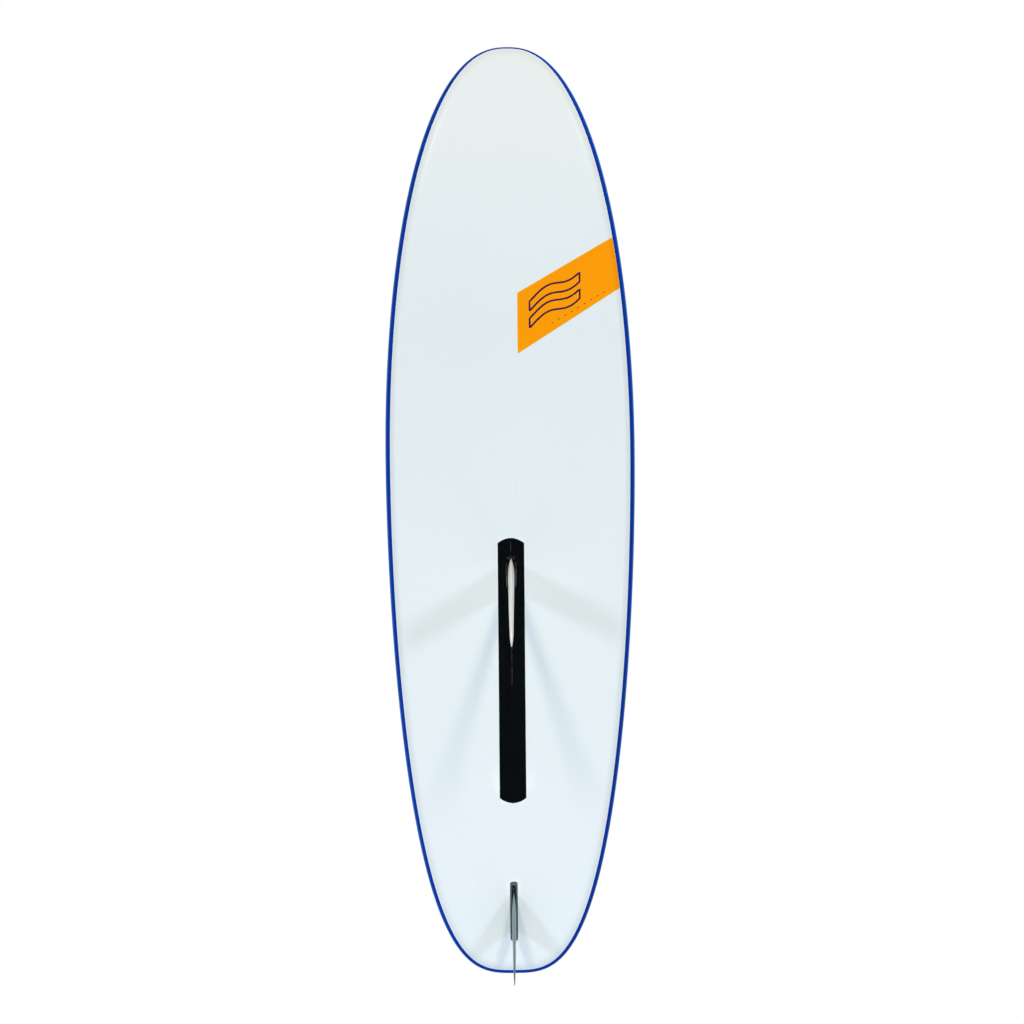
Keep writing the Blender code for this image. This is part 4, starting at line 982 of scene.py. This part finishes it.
class WINDSURF_OT_daggerboard(bpy.types.Operator):
    """Daggerboard blade with its head, pedal and tread"""

    bl_idname = "windsurf.daggerboard"
    bl_label = "Daggerboard"

    def execute(self, context):
        lean = Matrix.Translation(PIVOT) @ Matrix.Rotation(RAKE, 4, "X")
        head_steps = (89.9, 80, 70, 60, 50, 40, 30, 20, 10, 0)
        tip_steps = (12, 24, 36, 47, 57, 66, 74, 81, 86, 89)
        ups = [HEAD_FLAT + HEAD_CORNER * math.sin(math.radians(a)) for a in head_steps]
        straight = BLADE_SPAN - TIP_ROUND
        depths = [straight * i / 26 for i in range(27)]
        depths += [straight + TIP_ROUND * math.sin(math.radians(a)) for a in tip_steps]
        bm = bmesh.new()
        rings = [blade_ring(up, 0.0) for up in ups] + [blade_ring(0.0, depth) for depth in depths]
        ring_loft(bm, [[lean @ p for p in ring] for ring in rings])
        blade = make("board_blade", bm, LOOKS["blade"], BLADE_BODY, "blade_laminate",
                     ("daggerboard_blade",))
        across = Matrix.Translation(PIVOT) @ Matrix.Rotation(math.pi / 2, 4, "Y")
        carve(blade, [helper("eye", cylinder(0.0064, 0.05, across))])

        lift = 0.0663
        outline = [blade_frame(-0.012, lift), blade_frame(0.024, lift), (0.060, 0.078), (0.197, 0.090),
                   (0.195, 0.102), (0.045, 0.094), blade_frame(-0.008, lift + 0.012)]
        arm = prism([(PIVOT.y + y, PIVOT.z + z) for y, z in outline], -0.0148, 0.0148, flat=False)
        pedal = make("pedal_arm", arm, LOOKS["plastic"], BLADE_BODY, "fitting_plastic",
                     ("daggerboard_pedal",))
        edges(pedal, 0.0022, 4)
        rise = (Matrix.Translation(PIVOT) @ Matrix.Translation((0, 0.045, 0.094))
                @ Matrix.Rotation(math.atan2(0.008, 0.150), 4, "X"))
        plate = prism(rounded(-0.030, 0.030, 0.040, 0.145, 0.012, 10), GAP, 0.0056)
        bmesh.ops.transform(plate, matrix=rise, verts=plate.verts[:])
        plate = make("pedal_pad", plate, LOOKS["tread"], BLADE_BODY, "tread_rubber", ("pedal_tread",))
        ribs = []
        for i in range(9):
            y = 0.0475 + 0.0112 * i
            if min(abs(y - 0.062), abs(y - 0.122)) < 0.006:
                continue
            rib = prism(rounded(-0.026, 0.026, y - 0.0022, y + 0.0022, 0.002, 4), 0.004, 0.0083)
            bmesh.ops.transform(rib, matrix=rise, verts=rib.verts[:])
            ribs.append(helper("rib", rib))
        carve(plate, ribs, "UNION")
        edges(plate, 0.0007, 2)
        for i, y in enumerate((0.062, 0.122)):
            screw_head("pedal_bolt_%d" % (i + 1), rise @ Matrix.Translation((0, y, 0.0083)), 0.004,
                       BLADE_BODY,
                       "pedal_screw_%d" % (i + 1), 0.017)
        return {"FINISHED"}


def screw_head(name, place, radius, body, node, length=0.012, washer=0.0, look="steel"):
    """Pan-head screw with a cross recess, and a washer where it has one."""
    shank = radius * 0.52
    profile = [(0.0, 0.0025), (radius * 0.45, 0.0024), (radius * 0.78, 0.0019), (radius * 0.96, 0.0010),
               (radius, 0.0004), (radius, 0.0)]
    if washer:
        profile += [(washer * 0.96, 0.0), (washer, -0.0004), (washer, -0.0012), (washer * 0.96, -0.0015)]
    profile += [(shank, -0.0015 if washer else 0.0), (shank, -length), (0.0, -length - shank)]
    piece = make(name, spin(profile, place, 36), LOOKS[look], body, "stainless", (node,))
    arms = []
    for turn in (0, math.pi / 2):
        bar = prism(rounded(-radius * 0.55, radius * 0.55, -radius * 0.11, radius * 0.11, radius * 0.05, 3),
                    0.0009, 0.004)
        bmesh.ops.transform(bar, matrix=place @ Matrix.Rotation(turn + 0.3, 4, "Z"), verts=bar.verts[:])
        arms.append(helper("recess", bar))
    carve(piece, arms)
    return piece


class WINDSURF_OT_fin(bpy.types.Operator):
    """Fin, its box and its fastenings"""

    bl_idname = "windsurf.fin"
    bl_label = "Fin"

    def execute(self, context):
        place = fin_frame()
        rings = [[place @ p for p in foil_ring(z, FIN_ROOT_FROM, FIN_BASE_TO, FIN_THICK, FIN_ACROSS, 1.0)]
                 for z in (FIN_TONGUE_TOP, 0.0)]
        for i in range(41):
            share = math.sin(math.pi / 2 * i / 40)
            lead = FIN_ROOT_FROM + FIN_SWEEP * share ** 1.25
            rounding = math.sqrt(max(0.01, 1 - max(0.0, (share - 0.95) / 0.05) ** 2))
            chord = (FIN_ROOT - FIN_TAPER * share) * rounding
            thick = FIN_THICK * (1 - 0.35 * share - 0.45 * share ** 4)
            ring = foil_ring(-0.0006 - FIN_DEPTH * share, lead, lead + chord, thick, FIN_ACROSS)
            rings.append([place @ p for p in ring])
        bm = bmesh.new()
        ring_loft(bm, rings)
        make("fin", bm, LOOKS["fin"], HULL, "fin_laminate", ("fin_blade",))

        box = prism(rounded(-FIN_BOX_HALF, FIN_BOX_HALF, -FIN_BOX_HALF_LENGTH, FIN_BOX_HALF_LENGTH,
                            FIN_BOX_CORNER), -0.0006, 0.030)
        bmesh.ops.transform(box, matrix=place, verts=box.verts[:])
        body = make("fin_well", box, LOOKS["fin_box"], HULL, "fin_box_plastic", ("fin_box",))
        slot = prism(rounded(-0.0072, 0.0072, -0.084, 0.084, 0.006, 6), -0.01, 0.024)
        groove = prism(rounded(-0.0095, 0.0095, -0.0835, 0.0835, 0.001, 2), 0.013, 0.021)
        cuts = [slot, groove]
        for x in (-0.0085, 0.0085):
            cuts.append(cylinder(0.0014, 0.002, Matrix.Translation((x, 0.0885, -0.0006)), 16))
        for cut in cuts:
            bmesh.ops.transform(cut, matrix=place, verts=cut.verts[:])
        carve(body, [helper("cut", cut) for cut in cuts])
        edges(body, 0.0006, 2)
        screw = place @ Matrix.Translation((0, -0.072, 0.0045)) @ Matrix.Rotation(math.pi, 4, "X")
        # the fin bolt and nut plate sit in the slot's shade and are given the darkened steel: painted shade
        screw_head("fin_bolt", screw, 0.0040, HULL, "fin_screw", 0.016, look="dark_steel")
        dress("dark_steel", "fin_nut_plate")
        dress("brass", "fin_pin")
        return {"FINISHED"}


# ---------------------------------------------------------------- deck


def pad_edge(y):
    """Outer edge of the pads, kept on the flat of the deck."""
    return min(0.30, max(0.05, half_width(y) - DECK_ROLL - 0.003))


def pad_piece(name, node, y0, y1, sides, grooves, depth, looks, holes=()):
    """Foam pad laid on the deck: bevelled edge and long grooves cut into its top."""
    share = []
    for k in range(grooves + 1):
        middle, half = (k + 0.5) / (grooves + 1), 0.0022 / 0.24
        if k < grooves:
            share += [(middle - half * 1.6, 0.0), (middle - half * 0.7, 1.0), (middle + half * 0.7, 1.0),
                      (middle + half * 1.6, 0.0)]
    bevel = 0.012
    columns = [(0.0, -1.0), (bevel, 0.0)]
    columns += [s for s in share if bevel < s[0] < 1 - bevel]
    columns += [(1 - bevel, 0.0), (1.0, -1.0)]
    steps, lip = 70, 0.003
    rows = [(y0, -1.0)]
    rows += [(y0 + lip + (y1 - y0 - 2 * lip) * i / steps, 0.0) for i in range(steps + 1)]
    rows += [(y1, -1.0)]
    bm = bmesh.new()
    top, low = [], []
    for y, end in rows:
        inner, outer = sides(y)
        lines = [[], []]
        for s, kind in columns:
            x = inner + (outer - inner) * s
            edge = min(kind, end)
            height = PAD_LIFT + PAD_THICK - (0.0022 if edge < 0 else 0.0)
            if kind > 0 and end == 0 and y0 + 0.025 < y < y1 - 0.025:
                height -= depth
            lines[0].append(Vector((x, y, over(x, y) + height)))
            lines[1].append(Vector((x, y, over(x, y) + PAD_LIFT)))
        top.append(lines[0])
        low.append(lines[1])
    a, b = skin_grid(bm, top), skin_grid(bm, low)
    last_row, last = len(rows) - 1, len(columns) - 1
    ring = [(0, j) for j in range(last)] + [(i, last) for i in range(last_row)]
    ring += [(last_row, j) for j in range(last, 0, -1)] + [(i, 0) for i in range(last_row, 0, -1)]
    for (i, j), (k, m) in zip(ring, ring[1:] + ring[:1]):
        bm.faces.new([a[i][j], a[k][m], b[k][m], b[i][j]])
    piece = make(name, bm, looks, HULL, "deck_foam", (node,), smooth=False)
    if holes:
        carve(piece, [helper("hole", cylinder(0.0036, 0.02, seat, 20)) for seat in holes])
    return piece


class WINDSURF_OT_deck_pads(bpy.types.Operator):
    """Grooved foam pads on the deck"""

    bl_idname = "windsurf.deck_pads"
    bl_label = "Deck pads"

    def execute(self, context):
        depth = context.scene.windsurf_sizes.groove
        for side, name in ((1, "left"), (-1, "right")):
            pad_piece("pad_" + name, "deck_pad_" + name, -0.92, 0.612,
                      lambda y, side=side: (side * 0.060, side * pad_edge(y)), 9, depth, LOOKS["pad"])
        pad_piece("pad_rear", "deck_pad_rear", 0.62, 1.33, lambda y: (-pad_edge(y), pad_edge(y)), 19, depth,
                  LOOKS["pad"], list(strap_seats()))
        return {"FINISHED"}


class WINDSURF_OT_mast_track(bpy.types.Operator):
    """Mast track with its T slot"""

    bl_idname = "windsurf.mast_track"
    bl_label = "Mast track"

    def execute(self, context):
        (x0, y0, low), (x1, y1, top) = TRACK_LOW, TRACK_HIGH
        body = prism(rounded(x0, x1, y0, y1, 0.012, 10), low, top)
        piece = make("mast_track", body, LOOKS["plastic"], HULL, "fitting_plastic", ("mast_track_box",))
        cuts = [prism(rounded(-0.0055, 0.0055, y0 + 0.016, y1 - 0.016, 0.005, 8), low + 0.006, top + 0.01),
                prism(rounded(-0.011, 0.011, y0 + 0.014, y1 - 0.014, 0.002, 3), top - 0.016, top - 0.007),
                cylinder(0.0125, 0.008, Matrix.Translation((0, y0 + 0.030, top - 0.0075)))]
        for i in range(14):
            y = y0 + 0.055 + 0.016 * i
            for side in (-1, 1):
                x = side * 0.0165
                long = 0.0042 if i % 4 else 0.0058
                cuts.append(prism(rounded(x - long, x + long, y - 0.0006, y + 0.0006, 0.0004, 2),
                                  top - 0.0006,
                                  top + 0.002))
        carve(piece, [helper("cut", cut) for cut in cuts])
        edges(piece, 0.0009, 3)
        return {"FINISHED"}


def strap_loft(sections, steps=28):
    """Rounded flat section swept along frames; a section is (frame, half width, half thickness)."""
    rings = []
    for place, wide, thick in sections:
        ring = []
        for i in range(steps):
            a = 2 * math.pi * i / steps
            x = math.copysign(abs(math.cos(a)) ** 0.45, math.cos(a)) * wide
            z = math.copysign(abs(math.sin(a)) ** 0.8, math.sin(a)) * thick
            ring.append(place @ Vector((0, x, z)))
        rings.append(ring)
    bm = bmesh.new()
    ring_loft(bm, rings)
    return bm


def line_frames(points, base):
    """Frames along points in a vertical plane, X along the line and Z out of it."""
    frames = []
    for i, (u, z) in enumerate(points):
        a, b = points[max(i - 1, 0)], points[min(i + 1, len(points) - 1)]
        along = Vector((b[0] - a[0], 0, b[1] - a[1])).normalized()
        out = Vector((-along.z, 0, along.x))
        turn = Matrix((along, (0, 1, 0), out)).transposed().to_4x4()
        frames.append(base @ Matrix.Translation((u, 0, z)) @ turn)
    return frames


def stitch_row(bm, frames, across, lift, every=2):
    """Short raised stitches along a strap."""
    for a, b in zip(frames[::every], frames[1::every]):
        start, end = a @ Vector((0, across, lift)), b @ Vector((0, across, lift))
        side = (a.to_3x3() @ Vector((0, 1, 0))) * 0.0004
        up = (a.to_3x3() @ Vector((0, 0, 1))) * 0.0004
        ring_loft(bm, [[p + side, p + up, p - side, p - up] for p in (start, end)])


class WINDSURF_OT_footstraps(bpy.types.Operator):
    """Padded footstraps, with webbing tabs, stitching, screws and washers"""

    bl_idname = "windsurf.footstraps"
    bl_label = "Footstraps"

    def execute(self, context):
        number = 0
        for name, (x, y, turn) in STRAPS.items():
            base = deck_frame(x, y, turn)
            corners = [(s * u, v * STRAP_WIDTH / 2)
                       for s in (-1, 1) for v in (-1, 1) for u in (0.076, 0.111)]
            spots = [base @ Vector((u, v, 0)) for u, v in corners]
            level = max(over(p.x, p.y) - p.z for p in spots) + PAD_LIFT + PAD_THICK + 2 * GAP
            arch = [(STRAP_SPAN * 0.965 * math.cos(math.pi * i / 48), level + 0.0035
                     + (STRAP_RISE - 0.004) * math.sin(math.pi * i / 48)) for i in range(49)][::-1]
            tab = STRAP_SPAN + STRAP_TAB
            line = [(-tab + 0.004 * i, level + 0.0018) for i in range(6)] + arch[1:-1]
            line += [(tab - 0.004 * (5 - i), level + 0.0018) for i in range(6)]
            frames = line_frames(line, base)
            web = strap_loft([(f, 0.0235, 0.0011) for f in frames], 20)
            inner = make("strap_web_" + name, web, LOOKS["webbing"], HULL, "strap_cover")
            sleeve = []
            cover = line_frames(arch, base)
            for i, place in enumerate(cover):
                t = i / (len(cover) - 1)
                if 0.06 < t < 0.94:
                    fat = min(1.0, min(t - 0.06, 0.94 - t) / 0.06)
                    sleeve.append((place, STRAP_WIDTH / 2 * (0.90 + 0.10 * fat),
                                   0.0020 + 0.0026 * math.sqrt(fat)))
            piece = make("strap_sleeve_" + name, strap_loft(sleeve, 40), LOOKS["strap"], HULL,
                         "strap_cover",
                         ("footstrap_" + name,))
            thread = bmesh.new()
            inside = [f for f, _, _ in sleeve]
            for across in (-0.0225, 0.0225):
                stitch_row(thread, inside[1:-1], across, 0.0046)
            for end in (frames[:6], frames[-6:]):
                for across in (-0.019, 0.019):
                    stitch_row(thread, end, across, 0.0012, 1)
            make("strap_stitching_" + name, thread, LOOKS["thread"], HULL, "strap_cover", weld=None)
            for side in (-1, 1):
                number += 1
                seat = base @ Matrix.Translation((side * (STRAP_SPAN + STRAP_TAB / 2), 0, level + 0.0045))
                screw_head("strap_bolt_%d" % number, seat, 0.0055, HULL, "footstrap_screw_%d" % number,
                           0.026, 0.0085)
        return {"FINISHED"}


class WINDSURF_OT_handle(bpy.types.Operator):
    """Carry handle: tray and padded strap"""

    bl_idname = "windsurf.handle"
    bl_label = "Carry handle"

    def execute(self, context):
        (x0, y0, low), (x1, y1, top) = TRAY_LOW, TRAY_HIGH
        low = top - 0.041
        tray = make("tray", prism(rounded(x0, x1, y0, y1, 0.028, 12), top - 0.002, top), LOOKS["plastic"],
                    HULL,
                    "fitting_plastic", ("handle_tray",))
        cup = prism(rounded(x0 + 0.008, x1 - 0.008, y0 + 0.008, y1 - 0.008, 0.022, 10), low, top - 0.0005)
        carve(tray, [helper("cup", cup)], "UNION")
        hollow = prism(rounded(x0 + 0.011, x1 - 0.011, y0 + 0.011, y1 - 0.011, 0.019, 10), low + 0.003,
                       top + 0.01)
        carve(tray, [helper("hollow", hollow)])
        edges(tray, 0.0009, 3)
        middle, reach = (y0 + y1) / 2, 0.114
        base = Matrix.Translation((0, middle, top + GAP)) @ Matrix.Rotation(math.pi / 2, 4, "Z")
        line = []
        for i in range(61):
            u = -reach + 2 * reach * i / 60
            rise = 0.0095 * max(0.0, math.cos(math.pi / 2 * min(1.0, abs(u) / 0.095))) ** 0.8
            line.append((u, 0.0017 + rise))
        frames = line_frames(line, base)
        make("handle_web", strap_loft([(f, 0.0155, 0.0011) for f in frames], 20), LOOKS["webbing"], HULL,
             "webbing")
        sleeve = []
        for i, place in enumerate(frames):
            off = abs(line[i][0])
            if off < 0.062:
                fat = min(1.0, (0.062 - off) / 0.012)
                sleeve.append((place, 0.0158, 0.0014 + 0.0030 * math.sqrt(fat)))
        grip = make("handle_grip", strap_loft(sleeve, 36), LOOKS["strap"], HULL, "webbing",
                    ("handle_strap",))
        thread = bmesh.new()
        for across in (-0.0125, 0.0125):
            stitch_row(thread, [f for f, _, _ in sleeve][1:-1], across, 0.0044)
        make("handle_stitching", thread, LOOKS["thread"], HULL, "webbing", weld=None)
        for i, side in enumerate((-1, 1)):
            place = Matrix.Translation((0, middle + side * (reach - 0.008), top + GAP + 0.0032))
            screw_head("handle_bolt_%d" % (i + 1), place, 0.006, HULL, "handle_screw_%d" % (i + 1), 0.020)
        return {"FINISHED"}


class WINDSURF_OT_small_fittings(bpy.types.Operator):
    """Vent plug, tow loop and collar screws"""

    bl_idname = "windsurf.small_fittings"
    bl_label = "Small fittings"

    def execute(self, context):
        place = deck_frame(0, VENT_Y, lift=0.0008)
        insert = [(0.014, 0.0003), (0.0142, 0.0010), (0.0136, 0.0018), (0.0105, 0.0019), (0.010, 0.0016),
                  (0.010, -0.0025), (0.0066, -0.0025), (0.0066, -0.012), (0.004, -0.012), (0.004, -0.022),
                  (0.011, -0.022), (0.011, 0.0003), (0.014, 0.0003)]
        make("vent_ring", spin(insert, place, 56), LOOKS["plastic"], HULL, "fitting_plastic",
             ("vent_insert",))
        plug = [(0.0, 0.0028), (0.0070, 0.0029), (0.0086, 0.0026), (0.0093, 0.0016), (0.0093, 0.0001),
                (0.0062, 0.0001), (0.0062, -0.0115), (0.0, -0.0115)]
        body = make("vent_cap", spin(plug, place, 56), LOOKS["vent"], HULL, "vent_plastic", ("vent_plug",))
        cuts = [prism(rounded(-0.0011, 0.0011, -0.0068, 0.0068, 0.001, 4), 0.0013, 0.01)]
        for i in range(18):
            turn = Matrix.Rotation(math.pi * i / 9, 4, "Z") @ Matrix.Translation((0.0096, 0, 0))
            cuts.append(cylinder(0.0006, 0.004, turn, 10))
        for cut in cuts:
            bmesh.ops.transform(cut, matrix=place, verts=cut.verts[:])
        carve(body, [helper("cut", cut) for cut in cuts])
        dress("lip", "vent_o_ring")

        base = deck_frame(0, TOW_Y, 90, 0.0006)
        lower = [(0.018, 0.0012), (0.010, 0.0012), (0.0, 0.0012), (-0.012, 0.0016), (-0.026, 0.0026),
                 (-0.042, 0.0034)]
        angles = [-math.pi / 2 + math.pi * i / 22 for i in range(23)]
        bend = [(-0.058 - 0.010 * math.cos(a), 0.0092 + 0.0055 * math.sin(a)) for a in angles]
        upper = [(-0.050 + 0.0068 * i, 0.0145 - 0.0112 * (i / 9) ** 0.8) for i in range(1, 7)]
        loop = lower + bend + upper
        turn = Matrix.Rotation(math.pi, 4, "Z")
        frames = line_frames([(-u, z) for u, z in loop], base @ turn)
        make("tow_webbing", strap_loft([(f, 0.0098, 0.0010) for f in frames], 20), LOOKS["webbing"], HULL,
             "webbing",
             ("tow_loop",))
        seat = deck_frame(0, TOW_Y, lift=0.0006) @ Matrix.Translation((0, 0.004, 0.0024))
        screw_head("tow_bolt", seat, 0.006, HULL, "tow_screw", 0.016)
        top = COLLAR_HIGH[2]
        spots = [(x, y) for x in (-0.029, 0.029) for y in (WELL_FROM + 0.01, DECK_SLOT_TO - 0.01)]
        for i, (x, y) in enumerate(spots):
            screw_head("collar_bolt_%d" % (i + 1), Matrix.Translation((x, y, top + GAP)), 0.004, HULL,
                       "collar_screw_%d" % (i + 1))
        return {"FINISHED"}


# ---------------------------------------------------------------- stage


def area_light(name, spot, aim, size, power, color=(1, 1, 1)):
    """Soft square light aimed at a point."""
    data = bpy.data.lights.new(name, "AREA")
    data.shape = "SQUARE"
    data.size = size
    data.energy = power
    data.color = color
    lamp = bpy.data.objects.new(name, data)
    lamp.location = spot
    lamp.rotation_euler = (Vector(aim) - Vector(spot)).to_track_quat("-Z", "Y").to_euler()
    bpy.context.scene.collection.objects.link(lamp)
    return lamp


def far_light(name, way, spread, strength, color):
    """Light from far away, given the direction towards it and how wide it looks in degrees."""
    data = bpy.data.lights.new(name, "SUN")
    data.energy = strength
    data.color = color
    data.angle = math.radians(spread)
    lamp = bpy.data.objects.new(name, data)
    lamp.location = way.normalized() * 6.0
    lamp.rotation_euler = (-way).to_track_quat("-Z", "Y").to_euler()
    bpy.context.scene.collection.objects.link(lamp)
    return lamp


class WINDSURF_OT_stage(bpy.types.Operator):
    """Camera below the board, soft lights, a pale floor and a white backdrop"""

    bl_idname = "windsurf.stage"
    bl_label = "Stage"

    def execute(self, context):
        scene = context.scene
        away = scene.windsurf_sizes.camera_distance
        data = bpy.data.cameras.new("Camera")
        data.lens = 88.3
        data.clip_end = 100.0
        camera = bpy.data.objects.new("Camera", data)
        camera.location = (0.0045, 0.021, -away)
        look = Matrix(((1, 0, 0), (0, -1, 0), (0, 0, -1))).to_4x4()
        roll = Matrix.Rotation(math.radians(-0.5), 4, "Z")
        camera.matrix_world = Matrix.Translation(camera.location) @ look @ roll
        scene.collection.objects.link(camera)
        scene.camera = camera

        world = bpy.data.worlds.new("Studio")
        scene.world = world
        world.use_nodes = True
        tree = world.node_tree
        soft = tree.nodes["Background"]
        soft.inputs["Color"].default_value = (0.95, 1.0, 0.95, 1.0)
        soft.inputs["Strength"].default_value = 0.29
        plain = tree.nodes.new("ShaderNodeBackground")
        plain.inputs["Color"].default_value = (1.0, 1.0, 1.0, 1.0)
        path = tree.nodes.new("ShaderNodeLightPath")
        mix = tree.nodes.new("ShaderNodeMixShader")
        tree.links.new(path.outputs["Is Camera Ray"], mix.inputs["Fac"])
        tree.links.new(soft.outputs[0], mix.inputs[1])
        tree.links.new(plain.outputs[0], mix.inputs[2])
        tree.links.new(mix.outputs[0], tree.nodes["World Output"].inputs["Surface"])
        scene.view_settings.view_transform = "Standard"

        for name, way, spread, strength, color in (
                ("low_left", (-0.63, -0.04, -1), 7.0, 0.56, (0.64, 0.70, 1.0)),
                ("low_right", (0.60, -0.08, -1), 7.0, 0.56, (0.64, 0.70, 1.0)),
                ("nose_left", (-0.42, -0.96, -1), 8.0, 0.96, (1.0, 0.86, 0.68)),
                ("nose_right", (0.40, -0.96, -1), 8.0, 0.96, (1.0, 0.86, 0.68))):
            far_light(name, Vector(way), spread, strength, color)
        area_light("tail_panel", (0.0, 4.2, -4.0), (0, 0.8, 0), 6.0, 120, (0.72, 0.80, 1.0))
        for name, spot, size, power in (("key_above", (2.6, -3.4, 4.2), 2.4, 300),
                                        ("fill_above", (-3.4, 2.2, 3.6), 2.8, 160)):
            area_light(name, spot, (0, 0, 0), size, power).visible_glossy = False

        bm = bmesh.new()
        bmesh.ops.create_grid(bm, x_segments=1, y_segments=1, size=30.0)
        mesh = bpy.data.meshes.new("floor")
        bm.to_mesh(mesh)
        bm.free()
        floor = bpy.data.objects.new("floor", mesh)
        floor.location.z = FRAME_BOX[0][2] - 0.03
        floor.visible_shadow = False
        floor.visible_diffuse = False
        scene.collection.objects.link(floor)
        mat = bpy.data.materials.new("floor")
        mat.use_nodes = True
        tree = mat.node_tree
        shader = tree.nodes["Principled BSDF"]
        shader.inputs["Base Color"].default_value = (0.80, 0.80, 0.80, 1)
        shader.inputs["Roughness"].default_value = 0.8
        clear = tree.nodes.new("ShaderNodeBsdfTransparent")
        back = tree.nodes.new("ShaderNodeNewGeometry")
        pick = tree.nodes.new("ShaderNodeMixShader")
        tree.links.new(back.outputs["Backfacing"], pick.inputs["Fac"])
        tree.links.new(shader.outputs[0], pick.inputs[1])
        tree.links.new(clear.outputs[0], pick.inputs[2])
        tree.links.new(pick.outputs[0], tree.nodes["Material Output"].inputs["Surface"])
        mesh.materials.append(mat)
        return {"FINISHED"}


OPERATORS = (WINDSURF_OT_stage, WINDSURF_OT_hull, WINDSURF_OT_sticker, WINDSURF_OT_well,
             WINDSURF_OT_daggerboard,
             WINDSURF_OT_fin, WINDSURF_OT_mast_track, WINDSURF_OT_handle, WINDSURF_OT_deck_pads,
             WINDSURF_OT_footstraps, WINDSURF_OT_small_fittings)


class WINDSURF_PT_panel(bpy.types.Panel):
    """Lists the board's pieces"""

    bl_label = "Windsurf board"
    bl_space_type = "VIEW_3D"
    bl_region_type = "UI"
    bl_category = "Board"

    def draw(self, context):
        for settings in (context.scene.windsurf_colours, context.scene.windsurf_sizes):
            for key in settings.__annotations__:
                self.layout.prop(settings, key)
        for operator in OPERATORS:
            self.layout.operator(operator.bl_idname)


CLASSES = (HullColours, BoardSizes, *OPERATORS, WINDSURF_PT_panel)


def register():
    """Add the classes and their settings."""
    for cls in CLASSES:
        bpy.utils.register_class(cls)
    bpy.types.Scene.windsurf_colours = PointerProperty(type=HullColours)
    bpy.types.Scene.windsurf_sizes = PointerProperty(type=BoardSizes)


def unregister():
    """Take them away again."""
    del bpy.types.Scene.windsurf_sizes
    del bpy.types.Scene.windsurf_colours
    for cls in reversed(CLASSES):
        bpy.utils.unregister_class(cls)


def main():
    """Build every piece around the frame."""
    register()
    build_groups()
    build_looks(bpy.context.scene.windsurf_colours)
    for operator in OPERATORS:
        step = operator.bl_idname.split(".")[1]
        getattr(bpy.ops.windsurf, step)()


if __name__ == "__main__":
    main()
